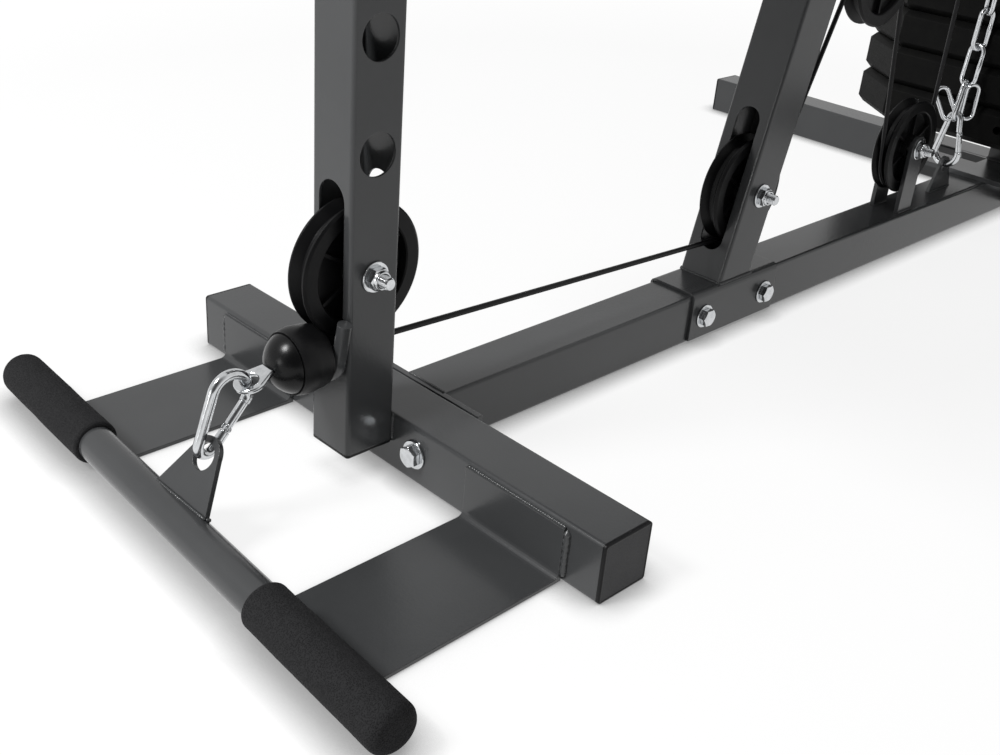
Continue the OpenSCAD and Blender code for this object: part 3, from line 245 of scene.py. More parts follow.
MAST_Y0 = lean_front(BEND_Z)
MAST_Y = MAST_Y0 + LEAN_DEPTH / 2
REAR_MID_Y = BEAM_REACH + BASE_W / 2
BOOM_MID_Z = BOOM_Z0 + BOOM_H / 2
PRESS_Y = MAST_Y0 - HINGE_OUT
EYE_Y = BALL_Y - BALL_R - EYE_REACH
EYE_ANGLE = EYE_ON_BOW - HOOK_TILT
HOOK_TAPER = math.atan((HOOK_HIGH_R - HOOK_LOW_R) / (HOOK_SPAN - HOOK_LOW_R - HOOK_HIGH_R))
BOW_UP = HOOK_SPAN - HOOK_HIGH_R
LOW_HOLE_Y = EYE_Y - EYE_PLAY - HOOK_HIGH_R * math.cos(EYE_ANGLE) - BOW_UP * math.sin(HOOK_TILT)
LOW_BAR_Y = LOW_HOLE_Y - LUG_REACH * math.sin(LUG_TILT)
LOW_HOLE = (0, LOW_HOLE_Y, LOW_BAR_Z + LUG_REACH * math.cos(LUG_TILT))
EYE_PLACE = (0, EYE_Y, LOW_HOLE[2] + BOW_UP * math.cos(HOOK_TILT) + HOOK_HIGH_R * math.sin(EYE_ANGLE))

# Axles of the pulleys as (y, z)
LOW_AXLE = (-FRONT_POST_W / 2, 172.5)
SLOT_AXLE = (lean_front(SLOT_AXLE_Z) + LEAN_DEPTH / 2, SLOT_AXLE_Z)
BASE_AXLE = (797, 126)
FORK_AXLE = (655, 333)
FORK_TOP = (661, 401)
LOWER_AXLE = (880, 900)
UPPER_AXLE = (880, 1040)
FRONT_BOOM_AXLE = (210, BOOM_MID_Z)
REAR_BOOM_AXLE = (795, BOOM_MID_Z)
STACK_AXLE = (STACK_Y - WRAP_R, BOOM_MID_Z)
PRESS_AXLE = (MAST_Y, 1150)
LAT_Y = FRONT_BOOM_AXLE[0] - WRAP_R
LAT_BALL_Z = BOOM_Z0 - LAT_STOP_DROP - BALL_BACK - SLACK
LAT_EYE_Z = LAT_BALL_Z - BALL_R - EYE_REACH
LAT_HOOK_Z = LAT_EYE_Z - EYE_PLAY - HOOK_SPAN
BOW_R = HOOK_LOW_R - HOOK_WIRE / 2
BOW_RISE = BOW_R - math.sqrt(BOW_R ** 2 - (LUG_T / 2) ** 2)
LAT_BAR_Z = LAT_HOOK_Z - (LUG_HOLE_R - HOOK_WIRE / 2 - SLACK - BOW_RISE) - LUG_REACH
ANCHOR_HOOK_Z = ANCHOR_HOLE_Z + ANCHOR_HOLE_R - HOOK_WIRE / 2 - SLACK
CHAIN_Z0 = ANCHOR_HOOK_Z + HOOK_SPAN - HOOK_WIRE / 2 - LINK_WIRE / 2 - SLACK
CHAIN_TOP_Y = LOWER_AXLE[0] + WRAP_R
FERRULE_Z = CHAIN_Z0 + len(CHAIN_STEPS) * LINK_PITCH + FERRULE_RISE
ARM_TOP_Z = HINGE_Z - ARM_TOP_DROP
ARM_LOW_Z = PRESS_AXLE[1] - ARM_FOOT_DROP
ARM_FOAM_Z0 = ARM_TOP_Z - ARM_FOAM_DROP - ARM_FOAM_LEN

# Wheels that the cables go round, with turn 1 for anticlockwise seen from +X. A radius of 0 is a cable's end.
Wheel = namedtuple("Wheel", "y z radius turn")
LOW_END = Wheel(BALL_Y + BALL_BACK - CABLE_IN_BALL, BALL_Z, 0, 1)
SLOT_WHEEL = Wheel(*SLOT_AXLE, WRAP_R, 1)
FORK_WHEEL = Wheel(*FORK_AXLE, WRAP_R, -1)
BASE_WHEEL = Wheel(*BASE_AXLE, WRAP_R, 1)
LOWER_WHEEL = Wheel(*LOWER_AXLE, WRAP_R, -1)
CHAIN_END = Wheel(CHAIN_TOP_Y, FERRULE_Z, 0, 1)
LAT_END = Wheel(LAT_Y, LAT_BALL_Z + BALL_BACK - CABLE_IN_BALL, 0, 1)
FRONT_WHEEL = Wheel(*FRONT_BOOM_AXLE, WRAP_R, -1)
REAR_WHEEL = Wheel(*REAR_BOOM_AXLE, WRAP_R, -1)
UPPER_WHEEL = Wheel(*UPPER_AXLE, WRAP_R, 1)
STACK_WHEEL = Wheel(*STACK_AXLE, WRAP_R, -1)
STEM_END = Wheel(STACK_Y, STEM_TOP, 0, 1)
FORK_EYE = Wheel(FORK_TOP[0], FORK_TOP[1] + BUSH_R + SLACK, 0, 1)
PRESS_WHEEL = Wheel(*PRESS_AXLE, WRAP_R, 1)
PRESS_EYE = Wheel(PRESS_Y + PRESS_W / 2 + 6, PRESS_AXLE[1] + WRAP_R, 0, 1)


def at(x, y, z):
    """The scene's point for a place in the part's own millimetres."""
    return Vector((x, y + FRONT_FACE, z)) * MM


def local(x, y, z, *turns):
    """Matrix that puts millimetres at a place of the part, after turns given as (angle, axis)."""
    matrix = Matrix.Translation(at(x, y, z))
    for angle, axis in turns:
        matrix = matrix @ Matrix.Rotation(angle, 4, axis)
    return matrix @ Matrix.Scale(MM, 4)


def add_object(name, data):
    obj = bpy.data.objects.new(name, data)
    bpy.context.collection.objects.link(obj)
    return obj


def make_camera():
    data = bpy.data.cameras.new("camera")
    data.sensor_fit = "HORIZONTAL"
    data.sensor_width = SENSOR_MM
    data.lens = FOCAL_PX / PICTURE_W * SENSOR_MM
    data.shift_x = (PICTURE_W / 2 - CENTRE_PX[0]) / PICTURE_W
    data.shift_y = (CENTRE_PX[1] - PICTURE_H / 2) / PICTURE_W
    data.clip_start = 0.01
    data.clip_end = 60
    camera = add_object("camera", data)
    axes = Matrix((CAMERA_RIGHT, -Vector(CAMERA_DOWN), -Vector(CAMERA_AHEAD))).transposed()
    camera.matrix_world = Matrix.Translation(CAMERA_PLACE) @ axes.to_4x4()
    bpy.context.scene.camera = camera


# Materials
def add_node(tree, kind, inputs=(), **settings):
    """New node, with each of the given inputs set to a value or linked to another node's output."""
    node = tree.nodes.new(kind)
    for key, value in settings.items():
        setattr(node, key, value)
    for key, value in dict(inputs).items():
        if isinstance(value, bpy.types.NodeSocket):
            tree.links.new(value, node.inputs[key])
        else:
            node.inputs[key].default_value = value
    return node


def map_range(tree, source, low, high, a, b):
    """Output that goes from a to b while the source goes from low to high."""
    limits = {"From Min": low, "From Max": high, "To Min": a, "To Max": b}
    return add_node(tree, "ShaderNodeMapRange", {"Value": source, **limits}).outputs["Result"]


class Shader:
    """A material's node tree, with a short call for each kind of node."""

    def __init__(self, name, gloss=0.5, metallic=0.0):
        self.material = bpy.data.materials.new(name)
        self.material.use_nodes = True
        self.tree = self.material.node_tree
        self.bsdf = self.tree.nodes["Principled BSDF"]
        self.bsdf.inputs["Specular IOR Level"].default_value = gloss
        self.bsdf.inputs["Metallic"].default_value = metallic
        self.place = self.add("ShaderNodeTexCoord").outputs["Object"]

    def add(self, kind, inputs=(), **settings):
        return add_node(self.tree, kind, inputs, **settings)

    def link(self, source, key):
        self.tree.links.new(source, self.bsdf.inputs[key])

    def noise(self, scale, detail):
        inputs = {"Scale": scale, "Detail": detail, "Vector": self.place}
        return self.add("ShaderNodeTexNoise", inputs).outputs["Fac"]

    def cells(self, scale, feature="F1"):
        inputs = {"Scale": scale, "Vector": self.place}
        return self.add("ShaderNodeTexVoronoi", inputs, feature=feature).outputs["Distance"]

    def tint(self, source, low, high, low_at=0.35, high_at=0.65):
        """Base colour that goes from low to high with the source."""
        ramp = self.add("ShaderNodeValToRGB", {"Fac": source})
        for element, place, colour in zip(ramp.color_ramp.elements, (low_at, high_at), (low, high)):
            element.position = place
            element.color = (*colour, 1)
        self.link(ramp.outputs["Color"], "Base Color")

    def rough(self, source, a, b, low=0.3, high=0.7):
        self.link(map_range(self.tree, source, low, high, a, b), "Roughness")

    def relief(self, layers, edge=0.0):
        """Bump from (source, height in metres) layers, on edges that are rounded by the given radius."""
        below = {}
        if edge:
            below = {"Normal": self.add("ShaderNodeBevel", {"Radius": edge}, samples=6).outputs["Normal"]}
        for source, height in layers:
            bump = self.add("ShaderNodeBump", {"Distance": height, "Height": source, **below})
            below = {"Normal": bump.outputs["Normal"]}
        self.link(below["Normal"], "Normal")


def shade(level):
    """Linear value of a level from 0 to 255."""
    part = level / 255
    return part / 12.92 if part <= 0.04045 else ((part + 0.055) / 1.055) ** 2.4


def rgb(red, green, blue):
    return (shade(red), shade(green), shade(blue))


def paint():
    s = Shader("frame_paint", 0.42)
    s.tint(s.noise(9, 3.0), rgb(56, 57, 58), rgb(61, 62, 63))
    s.rough(s.noise(700, 2.0), 0.2, 0.26)
    s.relief([(s.noise(420, 2.0), 0.00006), (s.noise(2600, 1.0), 0.000012)], edge=0.0009)
    return s.material


def plastic(name, level, rough_low, rough_high, grain, gloss):
    s = Shader(name, gloss)
    s.tint(s.noise(40, 3.0), rgb(level - 3, level - 3, level - 2), rgb(level + 3, level + 3, level + 4))
    s.rough(s.noise(900, 2.0), rough_low, rough_high)
    s.relief([(s.noise(2600, 2.0), grain)], edge=0.0006)
    return s.material


def foam_skin():
    s = Shader("black_foam", 0.1)
    pores = s.cells(1000)
    fine = s.cells(2400)
    s.tint(pores, rgb(20, 20, 21), rgb(40, 40, 41), 0.15, 0.6)
    s.rough(fine, 0.75, 0.95)
    s.relief([(s.noise(160, 3.0), 0.0005), (pores, 0.00035), (fine, 0.00012)])
    return s.material


def vinyl():
    s = Shader("pad_vinyl", 0.3)
    grain = s.cells(700, "DISTANCE_TO_EDGE")
    s.tint(s.noise(25, 3.0), rgb(24, 24, 25), rgb(31, 31, 33))
    s.rough(grain, 0.5, 0.38, 0, 0.2)
    s.relief([(map_range(s.tree, grain, 0, 0.12, 0, 1), 0.00012), (s.noise(2400, 2.0), 0.00003)])
    return s.material


def shell():
    s = Shader("weight_shell", 0.08)
    s.tint(s.noise(70, 5.0), rgb(6, 6, 6), rgb(11, 11, 10))
    s.rough(s.noise(800, 3.0), 0.42, 0.62)
    s.relief([(s.noise(1200, 3.0), 0.0001)], edge=0.0012)
    return s.material


def metal(name, colour, rough_low, rough_high, relief):
    s = Shader(name, metallic=1.0)
    s.tint(s.noise(180, 5.0), tuple(0.85 * c for c in colour), colour)
    s.rough(s.noise(360, 4.0), rough_low, rough_high)
    s.relief([(s.noise(900, 3.0), relief)], edge=0.0004)
    return s.material


def sheath():
    s = Shader("cable_sheath", 0.2)
    s.tint(s.noise(300, 3.0), rgb(12, 12, 13), rgb(18, 18, 20))
    s.rough(s.noise(900, 2.0), 0.3, 0.42)
    s.relief([(s.noise(1500, 2.0), 0.00003)])
    return s.material


cap_face = plastic("cap_face", 56, 0.5, 0.65, 0.00006, 0.2)
materials = {
    "frame_paint": paint(),
    "black_plastic": plastic("black_plastic", 14, 0.35, 0.5, 0.00002, 0.18),
    "pulley_nylon": plastic("pulley_nylon", 14, 0.3, 0.42, 0.00002, 0.14),
    "ball_plastic": plastic("ball_plastic", 11, 0.22, 0.28, 0.000004, 0.2),
    "black_rubber": plastic("black_rubber", 18, 0.6, 0.8, 0.00005, 0.15),
    "zinc_steel": metal("zinc_steel", rgb(214, 216, 218), 0.1, 0.2, 0.00002),
    "chromed_steel": metal("chromed_steel", rgb(222, 224, 228), 0.06, 0.12, 0.000002),
    "black_foam": foam_skin(),
    "pad_vinyl": vinyl(),
    "weight_shell": shell(),
    "cable_sheath": sheath(),
}


def smooth(mesh, crease):
    """Smooth shading, but for edges sharper than the crease in degrees."""
    mesh.polygons.foreach_set("use_smooth", [True] * len(mesh.polygons))
    mesh.set_sharp_from_angle(angle=math.radians(crease))


def dress_frame():
    """Gives every node of the frame its material, and smooths it across its small facets."""
    for part in frame["record"]["subparts"]:
        mesh = frame["nodes"][part["node"]].data
        mesh.materials.clear()
        mesh.materials.append(materials[part["material_slot"]])
        smooth(mesh, 28)


# Mesh helpers, all in the units of the matrix that they are given
def frame_along(points, closed):
    """Two axes across a path at each of its points, carried along so that they don't twist."""
    count = len(points)
    ways = []
    for i in range(count):
        before = points[i - 1] if i or closed else points[0]
        after = points[(i + 1) % count] if i < count - 1 or closed else points[-1]
        ways.append((after - before).normalized())
    side = ways[0].orthogonal().normalized()
    axes = []
    for way in ways:
        side = (side - way * side.dot(way)).normalized()
        axes.append((side, way.cross(side)))
    return axes


def ring(bm, matrix, points):
    return [bm.verts.new(matrix @ Vector(point)) for point in points]


def sweep(bm, points, radius, matrix=Matrix(), steps=16, closed=False):
    """Tube along a path. The radius is one value or a function of the share of the way."""
    points = [Vector(p) for p in points]
    last = len(points) - 1
    rings = []
    for i, (point, (side, up)) in enumerate(zip(points, frame_along(points, closed))):
        r = radius(i / last) if callable(radius) else radius
        angles = (2 * math.pi * k / steps for k in range(steps))
        rings.append(ring(bm, matrix, (point + r * (math.cos(a) * side + math.sin(a) * up) for a in angles)))
    join_rings(bm, rings, closed, ends=not closed)


def join_rings(bm, rings, closed=False, ends=False):
    """Faces between rings of equal length, and over both ends if asked. A ring of one point closes a cap."""
    pairs = zip(rings, rings[1:] + rings[:1]) if closed else zip(rings, rings[1:])
    for a, b in pairs:
        steps = max(len(a), len(b))
        for k in range(steps):
            n = (k + 1) % steps
            corners = [a[k % len(a)], a[n % len(a)], b[n % len(b)], b[k % len(b)]]
            unique = list(dict.fromkeys(corners))
            if len(unique) > 2:
                bm.faces.new(unique)
    if ends:
        bm.faces.new(rings[0][::-1])
        bm.faces.new(rings[-1])


def lathe(bm, profile, matrix, steps, bend=None):
    """Turned form about local Z from (radius, height) points. bend moves each point if given."""
    rings = []
    for r, z in profile:
        angles = (2 * math.pi * k / steps for k in range(1 if r < 1e-6 else steps))
        points = (Vector((r * math.cos(a), r * math.sin(a), z)) for a in angles)
        rings.append(ring(bm, matrix, map(bend, points) if bend else points))
    join_rings(bm, rings)


def hexagon(bm, radius, z0, z1, matrix, chamfers, steps=72):
    """Hexagonal body with its corners turned down at the lower and upper end where asked."""
    flat = radius * math.cos(math.pi / 6)
    face_r = flat * 0.96
    drop = math.tan(math.radians(28))
    rings = []
    for z, sign, chamfer in ((z0, 1, chamfers[0]), (z1, -1, chamfers[1])):
        outer = []
        for k in range(steps):
            a = 2 * math.pi * k / steps
            r = flat / math.cos((a + math.pi / 6) % (math.pi / 3) - math.pi / 6)
            outer.append((r * math.cos(a), r * math.sin(a), z + sign * chamfer * (r - face_r) * drop))
        inner = [(x, y, z) for x, y in circle(0, 0, face_r, steps)]
        rings += [ring(bm, matrix, points) for points in ([(0, 0, z)], inner, outer)[::sign]]
    join_rings(bm, rings)


def plate(bm, outline, holes, thickness, matrix):
    """Flat plate in the local XY plane, centred on z = 0, with holes given as (x, y, radius)."""
    start = len(bm.verts)
    loops = [outline] + [circle(x, y, r) for x, y, r in holes]
    edges = []
    for loop in loops:
        verts = [bm.verts.new((x, y, -thickness / 2)) for x, y in loop]
        edges += [bm.edges.new((verts[k - 1], verts[k])) for k in range(len(verts))]
    made = bmesh.ops.triangle_fill(bm, edges=edges, use_beauty=True)["geom"]
    faces = [g for g in made if isinstance(g, bmesh.types.BMFace)]
    grown = bmesh.ops.extrude_face_region(bm, geom=faces)["geom"]
    lifted = [g for g in grown if isinstance(g, bmesh.types.BMVert)]
    bmesh.ops.translate(bm, verts=lifted, vec=(0, 0, thickness))
    bm.verts.ensure_lookup_table()
    bmesh.ops.transform(bm, matrix=matrix, verts=bm.verts[start:])


def arc(x, y, r, a0, a1, steps):
    """Points on an arc, with its angles in degrees."""
    angles = (math.radians(a0 + (a1 - a0) * k / steps) for k in range(steps + 1))
    return [(x + r * math.cos(a), y + r * math.sin(a)) for a in angles]


def circle(x, y, r, steps=40):
    return arc(x, y, r, 0, 360, steps)[:-1]


def piece(name, bm, slot, body=None, bevel=0.0, crease=35):
    """Object from a mesh, with its material and smooth shading, riding on a body."""
    mesh = bpy.data.meshes.new(name)
    bmesh.ops.recalc_face_normals(bm, faces=bm.faces[:])
    bm.to_mesh(mesh)
    bm.free()
    obj = add_object(name, mesh)
    if bevel:
        modifier = obj.modifiers.new("rounded edges", "BEVEL")
        modifier.width = bevel
        modifier.segments = 3
        modifier.angle_limit = math.radians(40)
    smooth(mesh, crease)
    mesh.materials.append(materials[slot])
    if body:
        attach(obj, body)
    return obj


# Weld beads
def bead(bm, points, radius, matrix, ripple=2.2):
    """Weld bead along straight stretches: a low ridge with ripples, and rounded ends."""
    corners = [Vector(p) for p in points]
    path = []
    for a, b in zip(corners, corners[1:]):
        count = max(2, round((b - a).length / (ripple / 4)))
        path += [a.lerp(b, k / count) for k in range(count)]
    path.append(corners[-1])
    total = len(path) - 1

    def width(share):
        end = min(share, 1 - share) * total * ripple / 4
        ease = min(1.0, math.sqrt(max(end, 0.05) / radius))
        wave = 0.88 + 0.12 * math.sin(share * total * math.pi / 2)
        drift = 1 + 0.14 * noise.noise(path[round(share * total)] * 0.13)
        return radius * ease * wave * drift

    sweep(bm, path, width, matrix, steps=10)


def frame_welds():
    bm = bmesh.new()
    here = local(0, 0, 0)

    def weld(radius, *points, ripple=2.2):
        bead(bm, points, radius, here, ripple)

    def weld_round(radius, y0, depth, z):
        y1 = y0 + depth
        weld(radius, (-base, y0, z), (base, y0, z), (base, y1, z), (-base, y1, z), (-base, y0, z))

    post = FRONT_POST_W / 2
    base = BASE_W / 2
    flange_faces = (BASE_W + FLANGE_T, BEAM_REACH - FLANGE_T)
    seat_z0 = SEAT_TUBE_Z1 - FRONT_POST_W
    for s in (-1, 1):
        inner, outer = s * FOOT_INNER, s * (FOOT_INNER + FOOT_W)
        weld(1.4, (inner, -0.4, FOOT_FLANGE_H), (outer, -0.4, FOOT_FLANGE_H))
        weld(3.4, (outer + s * 1.6, -0.4, 5), (outer + s * 1.6, -0.4, FOOT_FLANGE_H - 1), ripple=6)
        weld(1.1, (inner, -1.5, 6), (inner, -1.5, FOOT_FLANGE_H))
        weld(2.4, (inner + s, -0.6, FOOT_FLANGE_H), (inner + s * 4, -0.6, FOOT_FLANGE_H))
        weld(2.0, (s * post, 0, 27), (s * post, 0, BASE_W))
        for y in flange_faces:
            weld(1.8, (s * base, y, 2), (s * base, y, BASE_W - 2))
    for y in flange_faces:
        weld(1.6, (-22, y, BASE_W), (22, y, BASE_W))
    for z in (BASE_W, SEAT_TUBE_Z1, seat_z0):
        weld(1.8, (-20, 0, z), (20, 0, z))
    weld_round(1.9, LEAN_FOOT_Y, LEAN_DEPTH, SADDLE_TOP)
    weld_round(1.9, BEAM_REACH, BASE_W, BASE_W)
    weld_round(1.3, MAST_Y0, LEAN_DEPTH, BEND_Z)
    for x in (-BRACKET_X - BRACKET_T, -BRACKET_X, BRACKET_X, BRACKET_X + BRACKET_T):
        weld(1.6, (x, BASE_AXLE[0] - 15, BASE_W), (x, BASE_AXLE[0] + 15, BASE_W))
    for x in (-LUG_T / 2, LUG_T / 2):
        weld(1.7, (x, ANCHOR_Y - 26, BASE_W), (x, ANCHOR_Y + 26, BASE_W))
    for x in (-post, post):
        weld(1.8, (x, 0, seat_z0), (x, 0, SEAT_TUBE_Z1))
        weld(1.8, (x, lean_front(seat_z0), seat_z0), (x, lean_front(SEAT_TUBE_Z1), SEAT_TUBE_Z1))
    piece("frame_welds", bm, "frame_paint", "frame")


def lug_weld(name, matrix, body):
    """Beads on both sides of a bar's lug and small lumps at its two feet."""
    bm = bmesh.new()
    half = LUG_T / 2
    out = half + 0.8
    foot = math.sqrt(BAR_R ** 2 - out ** 2)
    for s in (-1, 1):
        bead(bm, [(-LUG_HALF, s * out, foot), (LUG_HALF, s * out, foot)], 1.5, matrix)
        bead(bm, [(s * LUG_HALF, -half, foot + 0.4), (s * LUG_HALF, half, foot + 0.4)], 2.6, matrix)
    piece(name, bm, "frame_paint", body)


# Bolts
def collar(bm, r, z0, z1, edge, matrix, steps):
    """Ring round a bolt, with its outer edges broken."""
    profile = [(BOLT_R, z0), (r - edge, z0), (r, z0 + edge), (r, z1 - edge), (r - edge, z1), (BOLT_R, z1)]
    lathe(bm, profile, matrix, steps)


def bolt(steel, point, direction, grip):
    """Hexagon bolt with washers and a lock nut. The point is where the head's washer meets the part."""
    turn = Vector((0, 0, 1)).rotation_difference(Vector(direction)).to_matrix().to_4x4()
    m = Matrix.Translation(at(*point)) @ turn @ Matrix.Scale(MM, 4)
    hexagon(steel, HEX_R, -WASHER_T - HEAD_H, -WASHER_T - 0.3, m, (1, 0))
    for z in (-WASHER_T, grip):
        collar(steel, WASHER_R, z, z + WASHER_T, 0.5, m, 48)
    nut = grip + WASHER_T
    hexagon(steel, HEX_R, nut, nut + NUT_H * 0.7, m, (1, 1))
    top = nut + NUT_H
    lathe(steel, [(HEX_R * 0.83, nut + NUT_H * 0.6), (HEX_R * 0.81, top - 1), (HEX_R * 0.74, top - 0.2),
                  (HEX_R * 0.66, top), (BOLT_R + 0.7, top - 0.2), (BOLT_R + 0.5, top - 1.2)], m, 48)
    thread = [(BOLT_R - 0.2, nut)]
    end = top + THREAD_END - 1.2
    pitch = 1.5
    z = top - 1.5
    while z < end - pitch:
        thread += [(BOLT_R, z + 0.2), (BOLT_R, z + 0.5), (BOLT_R - 0.75, z + pitch * 0.7)]
        z += pitch
    thread += [(BOLT_R, end - 0.4), (BOLT_R - 0.9, end + 1.0), (0, end + 1.1)]
    lathe(steel, thread, m, 32)


def cross_bolt(bm, axle, half, side=1):
    bolt(bm, (side * half, *axle), (-side, 0, 0), 2 * half)


def bush(bm, axle, half_gap):
    matrix = local(0, *axle, (QUARTER, "Y"))
    collar(bm, BUSH_R, -half_gap, half_gap, 0.6, matrix, 40)


def frame_fasteners():
    bm = bmesh.new()
    cross_bolt(bm, LOW_AXLE, FRONT_POST_W / 2, -1)
    bush(bm, LOW_AXLE, FRONT_POST_W / 2 - TUBE_WALL)
    for axle in (SLOT_AXLE, PRESS_AXLE):
        cross_bolt(bm, axle, BASE_W / 2, -1)
        bush(bm, axle, BASE_W / 2 - TUBE_WALL)
    cross_bolt(bm, BASE_AXLE, BRACKET_X + BRACKET_T, -1)
    bush(bm, BASE_AXLE, BRACKET_X)
    rail_out = BASE_W / 2 + BOOM_RAIL_W
    for axle in (FRONT_BOOM_AXLE, REAR_BOOM_AXLE, STACK_AXLE):
        cross_bolt(bm, axle, rail_out)
        bush(bm, axle, BASE_W / 2)
    for y in (MAST_Y, REAR_MID_Y):
        cross_bolt(bm, (y, BOOM_MID_Z), rail_out)
    saddle_mid = SADDLE_Y0 + SADDLE_LEN / 2
    for s in (-1, 1):
        cross_bolt(bm, (saddle_mid + s * SADDLE_BOLT_GAP / 2, FLANGE_BOLT_Z), BASE_W / 2 + SADDLE_T)
        x = s * FLANGE_BOLT_GAP / 2
        bolt(bm, (x, 0, FLANGE_BOLT_Z), (0, 1, 0), BASE_W + FLANGE_T)
        bolt(bm, (x, BEAM_REACH + BASE_W, FLANGE_BOLT_Z), (0, -1, 0), BASE_W + FLANGE_T)
    cross_bolt(bm, (PRESS_Y, HINGE_Z), HINGE_HALF + HINGE_EAR_T)
    obj = piece("bolts_and_bushes", bm, "zinc_steel", "frame")
    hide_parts("frame_bolts")


def pulley_block(name, body, low, high, node):
    """Two flat cheeks with rounded ends, and a bolt and a bush at each of its two axles."""
    bm = bmesh.new()
    r = CHEEK_W / 2
    shift = high[0] - low[0]
    reach = high[1] - low[1]
    outline = arc(shift, reach, r, 0, 180, 20) + arc(0, 0, r, 180, 360, 20)
    for s in (-1, 1):
        matrix = local(s * (BRACKET_X + CHEEK_T / 2), *low, (QUARTER, "Z"), (QUARTER, "X"))
        plate(bm, outline, [(0, 0, BOLT_R), (shift, reach, BOLT_R)], CHEEK_T, matrix)
    for axle in (low, high):
        cross_bolt(bm, axle, BRACKET_X + CHEEK_T)
        bush(bm, axle, BRACKET_X)
    obj = piece(name, bm, "zinc_steel", body, bevel=0.0004)
    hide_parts(node)


# Snap hooks, with the narrow bow at the origin and the broad bow up the local Z
def gate_point(z):
    """Point at a height on the line that touches both bows on the gate's side."""
    return Vector((HOOK_LOW_R / math.cos(HOOK_TAPER) + (z - HOOK_LOW_R) * math.tan(HOOK_TAPER), 0, z))


def hook_wire_path():
    """The hook's wire from the gate's foot round the narrow bow, up the back and round to its nose."""
    taper = math.degrees(HOOK_TAPER)
    low = arc(0, HOOK_LOW_R, HOOK_LOW_R, 360 - taper, 180 + taper, 24)
    high = arc(0, BOW_UP, HOOK_HIGH_R, 180 + taper, -taper, 32)
    back = [Vector(low[-1]).lerp(Vector(high[0]), k / 8) for k in range(1, 8)]
    bows = [Vector((x, 0, z)) for x, z in low + back + high]
    return [gate_point(GATE_Z0), *bows, gate_point(GATE_Z1)]


def rod_slice(bm, base, up, radius, start, end, a0, a1, matrix):
    """Stretch of a rod along a way, kept between two angles round it and flat on the cut."""
    across = Vector((0, 1, 0)).cross(up)
    rings = []
    for along in (start, end):
        points = (across * u + Vector((0, v, 0)) for u, v in arc(0, 0, radius, a0, a1, 14))
        rings.append(ring(bm, matrix, (base + up * along + point for point in points)))
    join_rings(bm, rings, ends=True)


def hook_body(bm, matrix):
    """Bent wire with a slim foot and a pin for the gate, and half a tongue at its nose."""
    path = hook_wire_path()
    sweep(bm, path, HOOK_WIRE / 2, matrix, steps=20)
    foot, nose = path[0], path[-1]
    up = (nose - foot).normalized()
    sweep(bm, [foot - up * 0.5, foot + up * TONGUE], TONGUE_R, matrix, steps=14)
    rod_slice(bm, nose, -up, GATE_R, -0.5, TONGUE, -90, 90, matrix)
    pin = foot + up * PIN_UP
    marks = [pin + Vector((0, y, 0)) for y in (-4.5, -3.9, 3.9, 4.5)]
    sweep(bm, marks, lambda share: 1.9 if 0.1 < share < 0.9 else 1.4, matrix, steps=14)


def hook_gate(bm, matrix):
    """Round gate with a forked foot over the pin and half its width cut away for the nose's tongue."""
    foot, nose = gate_point(GATE_Z0), gate_point(GATE_Z1)
    up = (nose - foot).normalized()
    length = (nose - foot).length
    sweep(bm, [foot + up * 6, foot + up * (length - 5.4)], GATE_R, matrix, steps=24)
    rod_slice(bm, foot, up, GATE_R, length - 5.6, length - 0.9, -90, 90, matrix)
    for middle in (90, 270):
        rod_slice(bm, foot, up, GATE_R, 0.8, 6.2, middle - 44, middle + 44, matrix)


def eye(name, matrix, body, bevel):
    """Forged flat eye in the local XY plane with a hole, and a stud towards +Y."""
    bm = bmesh.new()
    stud = EYE_REACH + 2
    outline = arc(0, 0, EYE_R, 165 - 360, 15, 28)
    outline += [(8.5, stud * 0.7), (6.5, stud), (-6.5, stud), (-8.5, stud * 0.7)]
    plate(bm, outline, [(0, 0, EYE_HOLE_R)], EYE_T, matrix)
    return piece(name, bm, "zinc_steel", body, bevel)


def low_hook():
    matrix = local(*LOW_HOLE, (-HOOK_TILT, "X"), (QUARTER, "Z"))
    bm = bmesh.new()
    hook_body(bm, matrix)
    obj = piece("snap_hook_wire", bm, "zinc_steel", "low_handle")
    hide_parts("low_snap_hook")
    bm = bmesh.new()
    hook_gate(bm, matrix)
    obj = piece("snap_hook_gate", bm, "zinc_steel", "low_gate", bevel=0.0003)
    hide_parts("low_hook_gate")
    obj = eye("ball_stop_eye", local(*EYE_PLACE, (math.atan(EYE_DROP / EYE_REACH), "X")), "low_end", 0.0014)
    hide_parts("low_eye")


def lat_hook():
    matrix = local(0, LAT_Y, LAT_HOOK_Z, (QUARTER, "Z"))
    bm = bmesh.new()
    hook_body(bm, matrix)
    hook_gate(bm, matrix)
    obj = piece("lat_hook_wire", bm, "zinc_steel", "lat_end")
    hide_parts("lat_snap_hook")
    eye("lat_stop_eye", local(0, LAT_Y, LAT_EYE_Z, (QUARTER, "X")), "lat_end", 0.0012)


# Ball stops: a glossy nose, a seam and a broader back
def ball_stop(name, matrix, body, node):
    nose_r = BALL_R - 0.8
    bm = bmesh.new()
    nose = [(max(r, 0), z) for r, z in arc(0, 0, nose_r, -90, -25, 26)]
    nose.append((nose_r * math.cos(math.radians(24.5)) - 0.6, -10))
    lathe(bm, nose, matrix, 96)
    piece(name + "_nose", bm, "ball_plastic", body)
    bm = bmesh.new()
    back = [(nose_r - 4, -9.6), (BALL_R * 0.93, -10.2)] + arc(0, 0, BALL_R, -22, 12, 18)
    back += [(BALL_R - 0.9, 11), (BALL_R - 1.6, 14)] + arc(BALL_R - 4.2, 15.2, 2.4, 0, 70, 6)
    bore = CABLE_R + 0.7
    back += [(BALL_R - 8, BALL_BACK), (bore + 0.7, BALL_BACK), (bore, BALL_BACK - 0.8), (bore, 9)]
    lathe(bm, back, matrix, 96)
    obj = piece(name + "_back", bm, "black_plastic", body)
    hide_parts(node)


